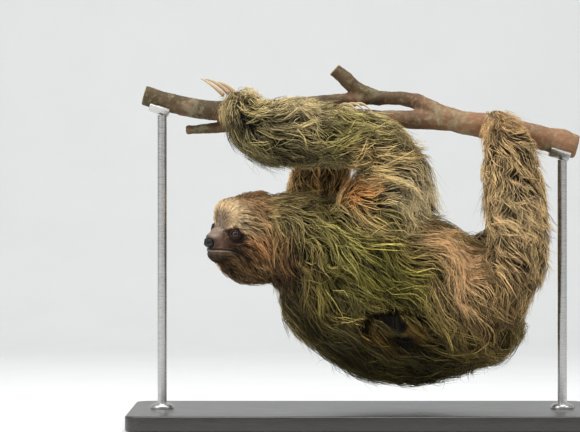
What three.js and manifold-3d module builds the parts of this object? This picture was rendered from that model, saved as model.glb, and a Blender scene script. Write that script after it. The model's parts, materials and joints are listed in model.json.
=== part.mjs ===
// A life-size three-toed sloth hanging from a cut, forked branch, on a plain display stand.
// Millimetres, +Z up. The origin is the middle of the base's underside. The branch runs along X,
// the head is towards -X, and the back is turned towards -Y. Every half-width of the animal is
// measured to the tips of its coat.
import * as THREE from "three";
import { mergeVertices } from "three/addons/utils/BufferGeometryUtils.js";
import Module from "manifold-3d";

// ---------- driving dimensions ----------

const GAP = 0.35; // between neighbouring pieces

const BASE = { length: 500, depth: 250, thickness: 16, corner: 18, edge: 2 };
const ROD = { radius: 5, at: { left: -216, right: 216 }, collarRadius: 13, collarHeight: 6 };
const CRADLE = { length: 22, wall: 3.5, opening: 30 }; // the opening is degrees below the level

const CLAW = { sides: 6, steps: 6, blunt: 0.04, fullness: 0.62 };
const HAND_CLAW = { deep: 3.1, wide: 2.1 };
const FOOT_CLAW = { deep: 2.6, wide: 2.0 };

const EYE = { radius: 5.6, forward: 31.5, aside: 19, up: 4.7 };
const EYE_HOLLOW = { depth: 4, spread: 9 };
const NOSE = { at: [52.6, 0, -7.2], radii: [5.5, 8, 6.2] };

// Where the head is and how it is turned: towards the viewer, with the far side a little higher.
const HEAD = { at: [-121, -9, 202.5], yaw: 35, roll: -9, aroundSides: 24, alongSides: 18 };

// The swellings of the head, in its own axes (forward, to its left, up). The cranium is squarer
// than an ellipsoid; the others are ellipsoids.
const CRANIUM = { radii: [39.5, 42.5, 46], power: 2.5 };
const HEAD_FORMS = {
  muzzle: { centre: [32, 0, -5.5], radii: [24.5, 14, 12.5] },
  jaw: { centre: [25, 0, -17], radii: [25, 15, 15] },
  throat: { centre: [-4, 0, -24], radii: [30, 34, 29] },
  nape: { centre: [-24, 0, 0], radii: [34, 48, 49] },
};
const HEAD_BLEND = 12; // the higher, the crisper the folds between the swellings
const HEAD_CUT = { at: [-101, -6, 199], facing: [-1, -0.16, 0] };

// The trunk's own right side: it hangs with that side up and turned a little to the viewer.
const BODY_RIGHT = [0.3, -0.5, 0.81];

// The lines of the body. Each station is a point on the line, then the half-width across
// the body and the half-depth from back to belly, or one radius where the section is round.
const TORSO = [
  { at: [-112, -8, 201], wide: 46, deep: 45 },
  { at: [-98, -6, 199], wide: 50, deep: 49 },
  { at: [-77, -3, 198], wide: 56, deep: 54 },
  { at: [-53, 1, 185], wide: 64, deep: 59 },
  { at: [-26, 5, 166], wide: 92, deep: 71 },
  { at: [38, 7, 137], wide: 103, deep: 78 },
  { at: [92, 8, 124], wide: 87, deep: 74 },
  { at: [133, 8, 118], wide: 60, deep: 56 },
];
const TORSO_END = [0.5, 0.78];
const NECK_BASE = 2; // the station where the neck ends and the trunk starts

const TAIL = [
  { at: [142, 26, 104], wide: 24, deep: 21 },
  { at: [157, 42, 103], wide: 20, deep: 17 },
  { at: [165, 54, 108], wide: 13, deep: 11 },
];

// Each limb is an upper and a lower line that meet at a mitre, and the lower one carries on as
// the hand or foot from the station `parted`. The upper line ends where the lower one starts.
const LIMBS = {
  arm_right: {
    upper: [
      { at: [6, -8, 194], radius: 54 },
      { at: [26, -32, 235], radius: 51.5 },
      { at: [32, -46, 267], radius: 40 },
      { at: [29, -54, 298], radius: 27 },
    ],
    lower: [
      { at: [29, -54, 298], radius: 27 },
      { at: [5, -51, 303], radius: 31.5 },
      { at: [-30, -47, 309.5], radius: 34.5 },
      { at: [-70, -44, 312], radius: 38 },
      { at: [-102, -39, 314], radius: 36 },
      { at: [-113, -32, 320], radius: 32 },
      { at: [-124, -24, 331], radius: 26 },
      { at: [-134, -14, 342.5], radius: 20 },
    ],
    parted: 5,
  },
  arm_left: {
    upper: [
      { at: [-38, 18, 114], radius: 41 },
      { at: [-50, 58, 164], radius: 38 },
      { at: [-56, 82, 206], radius: 33 },
    ],
    lower: [
      { at: [-56, 82, 206], radius: 33 },
      { at: [-50, 74, 246], radius: 34 },
      { at: [-42, 58, 284], radius: 32 },
      { at: [-37, 45, 308], radius: 26 },
      { at: [-35, 38, 320], radius: 21 },
      { at: [-31, 31, 331], radius: 14 },
    ],
    parted: 3,
  },
  leg_right: {
    upper: [
      { at: [112, -14, 132], radius: 44 },
      { at: [146, -34, 150], radius: 41 },
      { at: [165, -45, 164], radius: 30 },
    ],
    lower: [
      { at: [165, -45, 164], radius: 30 },
      { at: [166, -46, 190], radius: 32 },
      { at: [162.5, -42, 228], radius: 33.5 },
      { at: [158, -37, 266], radius: 32 },
      { at: [155, -30, 299], radius: 28 },
      { at: [150, -22, 313], radius: 22 },
      { at: [147, -12, 322], radius: 17 },
    ],
    parted: 4,
  },
  leg_left: {
    upper: [
      { at: [100, 30, 108], radius: 44 },
      { at: [128, 48, 164], radius: 42 },
      { at: [164, 62, 186], radius: 32 },
    ],
    lower: [
      { at: [164, 62, 186], radius: 32 },
      { at: [173, 60, 212], radius: 31 },
      { at: [171, 52, 246], radius: 31 },
      { at: [164, 44, 280], radius: 27 },
      { at: [158, 40, 298], radius: 22 },
      { at: [154, 35, 308], radius: 15 },
    ],
    parted: 3,
  },
};

// The branch: a main limb, a thinner one that joins it from below, and a sawn side shoot.
const BRANCH = {
  main: [
    { at: [-236, 0, 354], radius: 11 },
    { at: [-197, 1, 343], radius: 11 },
    { at: [-154, 1, 337], radius: 11 },
    { at: [-104, 3, 339], radius: 9.6 },
    { at: [-50, 11, 346], radius: 8 },
    { at: [20, 14, 352], radius: 7.6 },
    { at: [58, 9, 348], radius: 8.6 },
    { at: [90, 0, 330], radius: 12.5 },
    { at: [128, 0, 321], radius: 13.4 },
    { at: [178, 1, 312], radius: 13.3 },
    { at: [232, 0, 298], radius: 13.7 },
  ],
  lower: [
    { at: [-188, 8, 317], radius: 5 },
    { at: [-150, 10, 320], radius: 6.5 },
    { at: [-60, 3, 328], radius: 7 },
    { at: [-10, -3, 333], radius: 7 },
    { at: [30, -3, 328.5], radius: 9.2 },
    { at: [64, 1, 327.5], radius: 11 },
    { at: [96, 0, 326], radius: 11 },
  ],
  shoot: [
    { at: [18, 14, 351], radius: 8.2 },
    { at: [-8, 14, 363], radius: 7.8 },
    { at: [-30, 14, 383], radius: 7.6 },
  ],
};

// The claws of the near hand, which reach past the branch: a root, a bend and a tip for each.
const NEAR_HAND_CLAWS = [
  [[-140, -12, 344], [-160, -6, 366], [-175, 20, 373]],
  [[-137, -6, 349], [-157, 3, 371], [-171, 31, 373]],
  [[-132, 0, 351], [-149, 12, 370], [-160, 41, 370]],
];

// The claws that hook round the branch: the limb of it and the place along X where each foot
// or hand holds, the distance between the claws, how far they slide along the branch and stand
// off it, and the angles of the hook in degrees, from the far side up.
const HOOKS = {
  hand_left: { limb: "lower", at: -22, spacing: 8, slide: 25, off: 2.8, from: 30, to: 165, root: [-31, 31, 331] },
  foot_right: { limb: "main", at: 147, spacing: 12, slide: 2, off: 0.6, from: 112, to: -42, root: [147, -12, 322] },
  foot_left: { limb: "main", at: 153, spacing: 12, slide: -1, off: 0.6, from: 30, to: 72, root: [154, 35, 304] },
};

const COLOURS = {
  coat: [0x6b5a3c, 0.95],
  coatPale: [0x8a7350, 0.95],
  face: [0x9c7f57, 0.9],
  skin: [0x17130f, 0.5],
  claw: [0xb39a6d, 0.45],
  eye: [0x120b08, 0.1],
  bark: [0x7a5a42, 0.9],
  stand: [0x2b2c2e, 0.55],
  steel: [0x9a9c9f, 0.35, 0.9],
};

// ---------- shapes ----------

const vec = (a) => new THREE.Vector3(...a);

// A smooth line through the stations, and the half-widths that go with each point on it.
function lineOf(stations) {
  const smooth = (points) => new THREE.CatmullRomCurve3(points, false, "catmullrom", 0.5);
  return {
    path: smooth(stations.map((s) => vec(s.at))),
    sizes: smooth(stations.map((s) =>
      new THREE.Vector3(s.wide ?? s.radius, s.deep ?? s.radius, 0))),
  };
}

// A closed skin over rings of points, with a pole at each end.
function skinOver(rings, start, end) {
  const sides = rings[0].length;
  const points = [start, ...rings.flat(), end];
  const id = (ring, side) => 1 + ring * sides + (side % sides);
  const lastRing = rings.length - 1, lastPoint = points.length - 1;
  const faces = [];
  for (let s = 0; s < sides; s++) {
    faces.push(0, id(0, s + 1), id(0, s), lastPoint, id(lastRing, s), id(lastRing, s + 1));
    for (let r = 0; r < lastRing; r++) {
      faces.push(id(r, s), id(r, s + 1), id(r + 1, s + 1), id(r, s), id(r + 1, s + 1), id(r + 1, s));
    }
  }
  const geometry = new THREE.BufferGeometry().setFromPoints(points);
  geometry.setIndex(faces);
  return geometry;
}

// Points on an ellipse about `centre`, in the plane of two directions.
function ellipse(centre, wide, deep, sides) {
  return Array.from({ length: sides }, (_, i) => {
    const angle = (i / sides) * 2 * Math.PI;
    return centre.clone().addScaledVector(wide, Math.cos(angle)).addScaledVector(deep, Math.sin(angle));
  });
}

// A tube with elliptical sections along the stations. `facing` turns the sections, and `dome`
// is how far each end bulges, as a share of its smaller radius (0 is a flat cut).
function tube(stations, { facing = [0, -1, 0.2], steps = 2, sides = 14, dome = [1, 1] } = {}) {
  const { path, sizes } = lineOf(stations);
  const spans = (stations.length - 1) * steps;
  const ringAt = (t, share = 1, shift = 0) => {
    const along = path.getTangent(t), size = sizes.getPoint(t);
    const wide = vec(facing).projectOnPlane(along).normalize();
    const deep = along.clone().cross(wide);
    const centre = path.getPoint(t).addScaledVector(along, shift * Math.min(size.x, size.y));
    return ellipse(centre, wide.multiplyScalar(size.x * share), deep.multiplyScalar(size.y * share), sides);
  };
  const capAngles = [62, 34].map(THREE.MathUtils.degToRad);
  const rings = [];
  const cap = (end, sign) => capAngles.map((a) => ringAt(end, Math.cos(a), sign * Math.sin(a) * dome[end]));
  if (dome[0]) rings.push(...cap(0, -1));
  for (let i = 0; i <= spans; i++) rings.push(ringAt(i / spans));
  if (dome[1]) rings.push(...cap(1, 1).reverse());
  const pole = (t, share) => {
    const size = sizes.getPoint(t);
    return path.getPoint(t).addScaledVector(path.getTangent(t), share * Math.min(size.x, size.y));
  };
  return skinOver(rings, pole(0, -dome[0]), pole(1, dome[1]));
}

// How far a ray from the head's middle runs to the far side of an ellipsoid.
function reachOf(ray, { centre, radii }) {
  const d = ray.clone().divide(vec(radii)), c = vec(centre).divide(vec(radii));
  const a = d.dot(d), b = d.dot(c), root = b * b - a * (c.dot(c) - 1);
  return root < 0 ? 0 : Math.max(0, (b + Math.sqrt(root)) / a);
}

function craniumReach(ray) {
  const share = ["x", "y", "z"].reduce(
    (sum, axis, i) => sum + Math.abs(ray[axis] / CRANIUM.radii[i]) ** CRANIUM.power, 0);
  return share ** (-1 / CRANIUM.power);
}

// The head as one smooth swelling of all its forms, with a shallow hollow round each eye.
function headGeometry() {
  const ball = new THREE.SphereGeometry(1, HEAD.aroundSides, HEAD.alongSides);
  ball.rotateZ(-Math.PI / 2); // its poles go to the nose and the nape
  const points = ball.getAttribute("position");
  const ray = new THREE.Vector3();
  for (let i = 0; i < points.count; i++) {
    ray.fromBufferAttribute(points, i).normalize();
    const sum = Object.values(HEAD_FORMS).reduce(
      (total, form) => total + reachOf(ray, form) ** HEAD_BLEND, craniumReach(ray) ** HEAD_BLEND);
    const reach = sum ** (1 / HEAD_BLEND);
    const fromEye = Math.hypot(ray.x * reach - EYE.forward - 3,
      Math.abs(ray.y) * reach - EYE.aside - 2, ray.z * reach - EYE.up);
    ray.multiplyScalar(reach - EYE_HOLLOW.depth * Math.exp(-((fromEye / EYE_HOLLOW.spread) ** 2)));
    points.setXYZ(i, ray.x, ray.y, ray.z);
  }
  return ball;
}

// Moves a geometry from the head's own axes (forward, left, up) to the part's.
function inHead(geometry, at = [0, 0, 0]) {
  const yaw = THREE.MathUtils.degToRad(HEAD.yaw), roll = THREE.MathUtils.degToRad(HEAD.roll);
  const forward = new THREE.Vector3(-Math.cos(yaw), -Math.sin(yaw), 0);
  const left = new THREE.Vector3(Math.sin(yaw), -Math.cos(yaw), 0).applyAxisAngle(forward, roll);
  const up = forward.clone().cross(left);
  const axes = new THREE.Matrix4().makeBasis(forward, left, up).setPosition(...HEAD.at);
  return geometry.translate(...at).applyMatrix4(axes);
}

// A claw: a flattened horn that tapers along a curve.
function clawAlong(path, { deep, wide }, across) {
  const rings = Array.from({ length: CLAW.steps + 1 }, (_, i) => {
    const t = i / CLAW.steps, along = path.getTangent(t);
    const size = Math.pow(1 - t * (1 - CLAW.blunt), CLAW.fullness);
    const side = vec(across).projectOnPlane(along).normalize();
    const inward = along.clone().cross(side);
    return ellipse(path.getPoint(t), side.multiplyScalar(wide * size),
      inward.multiplyScalar(deep * size), CLAW.sides);
  });
  const tip = path.getPoint(1).addScaledVector(path.getTangent(1), deep * 0.35);
  return skinOver(rings, path.getPoint(0), tip);
}

// ---------- joining and cutting ----------

const wasm = await Module();
wasm.setup();

// The geometry's bare closed surface, with shared corners.
function surfaceOf(geometry) {
  const bare = geometry.clone();
  bare.deleteAttribute("normal");
  bare.deleteAttribute("uv");
  return mergeVertices(bare, 1e-3);
}

function solidOf(geometry, grownBy = 0) {
  const surface = surfaceOf(geometry);
  surface.computeVertexNormals();
  const points = surface.getAttribute("position"), normals = surface.getAttribute("normal");
  const corners = points.array.map((value, i) => value + normals.array[i] * grownBy);
  return new wasm.Manifold(new wasm.Mesh({
    numProp: 3, vertProperties: corners, triVerts: new Uint32Array(surface.index.array) }));
}

function geometryOf(shape) {
  const mesh = shape.getMesh();
  const geometry = new THREE.BufferGeometry();
  geometry.setAttribute("position", new THREE.BufferAttribute(mesh.vertProperties, 3));
  geometry.setIndex(new THREE.BufferAttribute(mesh.triVerts, 1));
  geometry.computeVertexNormals();
  return geometry;
}

// Parts a shape by a plane, leaving the gap: first the piece behind it, then the piece in front.
function partedBy(shape, at, facing) {
  const normal = vec(facing).normalize(), offset = normal.dot(vec(at));
  return [
    shape.trimByPlane(normal.clone().negate().toArray(), GAP / 2 - offset),
    shape.trimByPlane(normal.toArray(), offset + GAP / 2),
  ];
}

const directionAt = (stations, t) => lineOf(stations).path.getTangent(t).toArray();

// Parts a shape across its line at one of its stations.
const partedAt = (shape, stations, index) =>
  partedBy(shape, stations[index].at, directionAt(stations, index / (stations.length - 1)));

const stand = new THREE.Group(), animal = new THREE.Group();
const room = {}; // the grown outline of each form, for cutting back what lies against it

// Adds a piece to a group, cut back from the forms named.
function place(group, name, shape, [color, roughness, metalness = 0], against = []) {
  const cut = against.reduce((left, other) => left.subtract(room[other]), shape);
  const largest = cut.decompose().sort((a, b) => b.volume() - a.volume())[0];
  const mesh = new THREE.Mesh(geometryOf(largest),
    new THREE.MeshStandardMaterial({ color, roughness, metalness }));
  mesh.name = name;
  group.add(mesh);
}

// The solid of a form, which keeps its room among the others.
function form(name, geometry) {
  room[name] = solidOf(geometry, GAP);
  return solidOf(geometry);
}

// ---------- the stand and the branch ----------

function branchShape(grownBy = 0) {
  const look = { sides: 10, facing: [0, 1, 0] };
  return [
    tube(BRANCH.main, { ...look, dome: [0, 0] }),
    tube(BRANCH.lower, { ...look, steps: 1, dome: [0.6, 1] }),
    tube(BRANCH.shoot, { ...look, steps: 1, dome: [1, 0] }),
  ].map((limb) => solidOf(limb, grownBy)).reduce((whole, limb) => whole.add(limb));
}

// The middle, direction and radius of a limb of the branch at a given place along X.
function branchAt(x, limb = "main") {
  const { path, sizes } = lineOf(BRANCH[limb]);
  let low = 0, high = 1;
  for (let i = 0; i < 30; i++) {
    const middle = (low + high) / 2;
    if (path.getPoint(middle).x < x) low = middle;
    else high = middle;
  }
  return { centre: path.getPoint(low), along: path.getTangent(low), radius: sizes.getPoint(low).x };
}

function baseGeometry() {
  const { length, depth, thickness, corner, edge } = BASE;
  const x = length / 2 - edge - corner, y = depth / 2 - edge - corner;
  const outline = new THREE.Shape();
  [[x, y], [-x, y], [-x, -y], [x, -y]].forEach(([cx, cy], i) =>
    outline.absarc(cx, cy, corner, (i * Math.PI) / 2, ((i + 1) * Math.PI) / 2, false));
  return new THREE.ExtrudeGeometry(outline, { depth: thickness - 2 * edge, bevelSize: edge,
    bevelThickness: edge, bevelSegments: 1, curveSegments: 4 }).translate(0, 0, edge);
}

// A round piece of the stand, turned about a vertical line.
const turned = (profile, x, segments) =>
  new THREE.LatheGeometry(profile.map(([r, z]) => new THREE.Vector2(r, z)), segments)
    .rotateX(Math.PI / 2).translate(x, 0, 0);

function rodGeometry(x) {
  const { centre, radius } = branchAt(x);
  const foot = BASE.thickness + GAP;
  const top = centre.z - radius - CRADLE.wall - 2 * GAP;
  return turned([[0, foot], [ROD.radius, foot], [ROD.radius, top], [0, top]], x, 16);
}

function collarGeometry(x) {
  const low = BASE.thickness + GAP, high = BASE.thickness + ROD.collarHeight, bore = ROD.radius + GAP;
  return turned([[bore, low], [ROD.collarRadius, low], [ROD.collarRadius, low + 2],
    [bore + 3, high], [bore, high], [bore, low]], x, 14);
}

// A shallow trough that the branch lies in, on top of a rod.
function cradleGeometry(x) {
  const { centre, along, radius } = branchAt(x);
  const from = Math.PI + THREE.MathUtils.degToRad(CRADLE.opening);
  const to = 2 * Math.PI - THREE.MathUtils.degToRad(CRADLE.opening);
  const trough = new THREE.Shape();
  trough.absarc(0, 0, radius + CRADLE.wall + GAP, from, to, false);
  trough.absarc(0, 0, radius + GAP, to, from, true);
  return new THREE.ExtrudeGeometry(trough, { depth: CRADLE.length, bevelEnabled: false, curveSegments: 8 })
    .translate(0, 0, -CRADLE.length / 2).rotateX(Math.PI / 2).rotateZ(Math.PI / 2)
    .rotateY(-Math.atan2(along.z, along.x)).translate(...centre.toArray());
}

function placeStand() {
  room.perch = branchShape(GAP);
  place(stand, "perch", branchShape(), COLOURS.bark);
  place(stand, "stand_base", form("base", baseGeometry()), COLOURS.stand);
  for (const [side, x] of Object.entries(ROD.at)) {
    const cradle = form(`cradle_${side}`, cradleGeometry(x));
    place(stand, `stand_cradle_${side}`, cradle, COLOURS.steel, ["perch"]);
    place(stand, `stand_rod_${side}`, solidOf(rodGeometry(x)), COLOURS.steel, [`cradle_${side}`]);
    place(stand, `stand_collar_${side}`, solidOf(collarGeometry(x)), COLOURS.steel);
  }
}

// ---------- the head and the trunk ----------

function placeHead() {
  for (const [side, sign] of [["left", 1], ["right", -1]]) {
    const ball = new THREE.SphereGeometry(EYE.radius, 12, 8);
    const at = [EYE.forward, sign * EYE.aside, EYE.up];
    place(animal, `eye_${side}`, form(`eye_${side}`, inHead(ball, at)), COLOURS.eye);
  }
  const pad = new THREE.SphereGeometry(1, 12, 8).scale(...NOSE.radii);
  place(animal, "nose", form("nose", inHead(pad, NOSE.at)), COLOURS.skin);
  const whole = form("head", inHead(headGeometry()));
  const [, front] = partedBy(whole, HEAD_CUT.at, HEAD_CUT.facing);
  place(animal, "head", front, COLOURS.face, ["eye_left", "eye_right", "nose"]);
}

function placeTrunk() {
  const torso = form("torso", tube(TORSO, { facing: BODY_RIGHT, sides: 26, dome: TORSO_END }));
  const [neck, trunk] = partedAt(torso, TORSO, NECK_BASE);
  place(animal, "neck", partedBy(neck, HEAD_CUT.at, HEAD_CUT.facing)[0], COLOURS.coat);
  place(animal, "trunk", trunk, COLOURS.coat);
  const tail = form("tail", tube(TAIL, { facing: BODY_RIGHT, sides: 12 }));
  place(animal, "tail", tail, COLOURS.coat, ["torso"]);
}

// ---------- the limbs and their claws ----------

const SEGMENTS = { arm: ["upper_arm", "forearm", "hand"], leg: ["thigh", "shin", "foot"] };

// Places one limb as an upper piece, a lower piece mitred to it, and a hand or foot.
function placeLimb(limb, colour, against) {
  const [kind, side] = limb.split("_");
  const { upper, lower, parted } = LIMBS[limb];
  const names = SEGMENTS[kind].map((segment) => `${segment}_${side}`);
  const upperShape = form(names[0], tube(upper));
  const lowerShape = form(names[1], tube(lower));
  const bend = vec(directionAt(upper, 1)).add(vec(directionAt(lower, 0))).toArray();
  const elbow = lower[0].at;
  const [middle, end] = partedAt(partedBy(lowerShape, elbow, bend)[1], lower, parted);
  place(animal, names[0], partedBy(upperShape, elbow, bend)[0], colour, against);
  place(animal, names[1], middle, colour, against);
  place(animal, names[2], end, colour, against);
}

const placeClaws = (name, paths, size, across, against) => paths.forEach((path, i) =>
  place(animal, `claw_${name}_${i + 1}`, solidOf(clawAlong(path, size, across)), COLOURS.claw, against));

// Three claws that leave the flesh at their root and hook round the branch.
function hooksOf({ limb, at, spacing, slide, off, from, to, root }) {
  const { deep } = FOOT_CLAW;
  return [-1, 0, 1].map((k) => {
    const turns = 5;
    const points = Array.from({ length: turns + 1 }, (_, i) => {
      const x = at + k * spacing + (slide * i) / turns;
      const { centre, radius } = branchAt(x, limb);
      const angle = THREE.MathUtils.degToRad(from + ((to - from) * i) / turns);
      const away = radius + deep + off;
      return new THREE.Vector3(x, centre.y + Math.cos(angle) * away, centre.z + Math.sin(angle) * away);
    });
    const start = vec(root).add(new THREE.Vector3(k * spacing * 0.7, 0, 0));
    return new THREE.CatmullRomCurve3([start, ...points]);
  });
}

function placeAllClaws() {
  const bent = NEAR_HAND_CLAWS.map((points) => new THREE.QuadraticBezierCurve3(...points.map(vec)));
  const along = [1, 0, 0], feet = ["shin_right", "shin_left", "perch"];
  placeClaws("hand_right", bent, HAND_CLAW, [0.3, 0.85, 0.3], ["forearm_right", "perch"]);
  placeClaws("hand_left", hooksOf(HOOKS.hand_left), HAND_CLAW, along, ["forearm_left", "perch"]);
  placeClaws("foot_right", hooksOf(HOOKS.foot_right), FOOT_CLAW, along, feet);
  placeClaws("foot_left", hooksOf(HOOKS.foot_left), FOOT_CLAW, along, feet);
}

placeStand();
placeHead();
placeTrunk();
placeLimb("arm_right", COLOURS.coat, ["torso", "head", "perch"]);
placeLimb("arm_left", COLOURS.coat, ["torso", "head", "perch", "forearm_right", "upper_arm_right"]);
placeLimb("leg_right", COLOURS.coatPale, ["torso", "perch"]);
placeLimb("leg_left", COLOURS.coatPale, ["torso", "tail", "perch", "shin_right", "thigh_right"]);
placeAllClaws();

export default new THREE.Group().add(stand, animal);
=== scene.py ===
"""Dresses the still, life-size three-toed sloth that hangs from a cut branch on a display stand.

One skin replaces the flesh nodes and lies inside them by the depth of the coat. Locks of solid
mesh grow from it along a combed field, in pieces of one region each. Eyes, nose pad, claws, perch
and stand are pieces of their own. Lengths named in millimetres are turned to metres by MM.
"""
import json
import logging
import math
from dataclasses import dataclass, field
from enum import Enum
from typing import Any, Sequence

import bmesh
import bpy
import numpy as np
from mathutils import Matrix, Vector
from mathutils.bvhtree import BVHTree
from mathutils.kdtree import KDTree

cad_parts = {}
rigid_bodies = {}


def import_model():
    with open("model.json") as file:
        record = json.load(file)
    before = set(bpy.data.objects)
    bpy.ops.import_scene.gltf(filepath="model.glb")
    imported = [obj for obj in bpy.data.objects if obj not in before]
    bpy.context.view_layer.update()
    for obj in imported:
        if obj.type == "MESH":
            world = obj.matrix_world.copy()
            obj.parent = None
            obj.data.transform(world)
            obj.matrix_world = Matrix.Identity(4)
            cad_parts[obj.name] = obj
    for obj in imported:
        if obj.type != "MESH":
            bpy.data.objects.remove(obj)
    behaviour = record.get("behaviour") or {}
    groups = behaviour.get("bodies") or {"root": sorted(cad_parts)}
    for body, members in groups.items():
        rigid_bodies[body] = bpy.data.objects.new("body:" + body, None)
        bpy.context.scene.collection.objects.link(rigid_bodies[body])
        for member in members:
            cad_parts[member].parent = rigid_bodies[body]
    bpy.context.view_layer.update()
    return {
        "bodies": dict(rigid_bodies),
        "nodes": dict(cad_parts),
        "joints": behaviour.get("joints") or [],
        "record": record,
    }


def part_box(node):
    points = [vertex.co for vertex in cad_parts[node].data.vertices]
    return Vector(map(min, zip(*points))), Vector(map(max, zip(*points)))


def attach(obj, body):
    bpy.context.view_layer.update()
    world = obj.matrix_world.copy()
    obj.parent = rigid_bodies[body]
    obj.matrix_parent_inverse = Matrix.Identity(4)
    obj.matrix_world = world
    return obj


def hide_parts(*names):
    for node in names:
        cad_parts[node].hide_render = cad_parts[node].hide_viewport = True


Array = np.ndarray
Table = dict[str, np.ndarray]
Piece = bpy.types.Object
Shape = bmesh.types.BMesh
Triple = tuple[float, float, float]

LOG = logging.getLogger("sloth")
MM = 0.001
SEED = 1849
FAR = 99.0
TINY = 1e-12


class Family(Enum):
    """A run of flesh nodes that are combed and clothed together."""

    HEAD = ("head",)
    BODY = ("neck", "trunk", "tail")
    ARM_RIGHT = ("upper_arm_right", "forearm_right", "hand_right")
    ARM_LEFT = ("upper_arm_left", "forearm_left", "hand_left")
    LEG_RIGHT = ("thigh_right", "shin_right", "foot_right")
    LEG_LEFT = ("thigh_left", "shin_left", "foot_left")


FLESH = [node for family in Family for node in family.value]


@dataclass(frozen=True)
class Growth:
    """How the coat of one node grows; lengths in millimetres, colours linear, locks in joints."""

    depth: float
    length: float
    width: float
    spacing: float
    loose: float
    colour: Triple
    joints: int = 4


@dataclass(frozen=True)
class Comb:
    """The way the hair lies near one place of a node."""

    node: str
    at: Triple
    lie: Triple


@dataclass(frozen=True)
class Spot:
    """A round place on a node; reach in millimetres."""

    node: str
    at: Triple
    reach: float

    def share(self, points: Array, core: float, wander: Any = 0) -> Array:
        """Returns 1 in the spot's core and 0 beyond its reach.

        Args:
            points: places in metres.
            core: the core's size as a part of the reach.
            wander: millimetres added to each point's distance, to break up the edge.
        """
        apart = distance(points, place_in(self.node, self.at)) / MM
        return smooth_step(self.reach, core * self.reach, apart + wander)


@dataclass(frozen=True)
class Marking(Spot):
    """A soft-edged patch of another colour."""

    colour: Triple
    strength: float = 1.0


@dataclass(frozen=True)
class Trim(Spot):
    """A place where the coat's length and depth differ from those around it, by factors.

    No hair hangs over a clearing.
    """

    length: float
    depth: float
    clearing: bool = True


@dataclass(frozen=True)
class Fray(Spot):
    """A place where more hairs stand loose of the coat."""

    more: float


def listed(kind: type, *runs: tuple[str, Sequence[tuple[Any, ...]]]) -> list[Any]:
    """Returns a record of the kind for each row of the runs; a run starts with its rows' node."""
    return [kind(node, *row) for node, rows in runs for row in rows]


GROWTH = {
    "head": Growth(8.5, 26, 0.85, 1.35, 0.35, (0.44, 0.26, 0.1), 3),
    "neck": Growth(13, 38, 0.95, 1.8, 0.45, (0.19, 0.12, 0.045)),
    "trunk": Growth(16, 48, 1.0, 1.9, 0.45, (0.17, 0.125, 0.038)),
    "tail": Growth(6, 26, 1.1, 2.2, 0.6, (0.36, 0.24, 0.1)),
    "upper_arm_right": Growth(13, 38, 1.0, 1.8, 0.75, (0.36, 0.27, 0.12)),
    "forearm_right": Growth(11, 30, 0.88, 1.55, 0.7, (0.32, 0.255, 0.105), 3),
    "hand_right": Growth(8, 21, 0.85, 1.5, 0.6, (0.46, 0.355, 0.16), 3),
    "upper_arm_left": Growth(10, 32, 1.15, 2.3, 0.5, (0.32, 0.2, 0.08), 3),
    "forearm_left": Growth(9, 30, 1.15, 2.1, 0.5, (0.34, 0.215, 0.085), 3),
    "hand_left": Growth(5, 18, 1.0, 2.0, 0.5, (0.36, 0.235, 0.1), 3),
    "thigh_right": Growth(12, 34, 1.0, 1.95, 0.8, (0.27, 0.18, 0.075)),
    "shin_right": Growth(10, 25, 0.88, 1.6, 1.0, (0.41, 0.285, 0.133), 3),
    "foot_right": Growth(8, 18, 0.82, 1.5, 0.8, (0.62, 0.4, 0.18), 3),
    "thigh_left": Growth(12, 32, 1.15, 2.4, 0.5, (0.3, 0.205, 0.09), 3),
    "shin_left": Growth(10, 26, 1.1, 2.2, 0.5, (0.42, 0.29, 0.135), 3),
    "foot_left": Growth(6, 18, 1.0, 2.0, 0.5, (0.46, 0.32, 0.15), 3),
}

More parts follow.
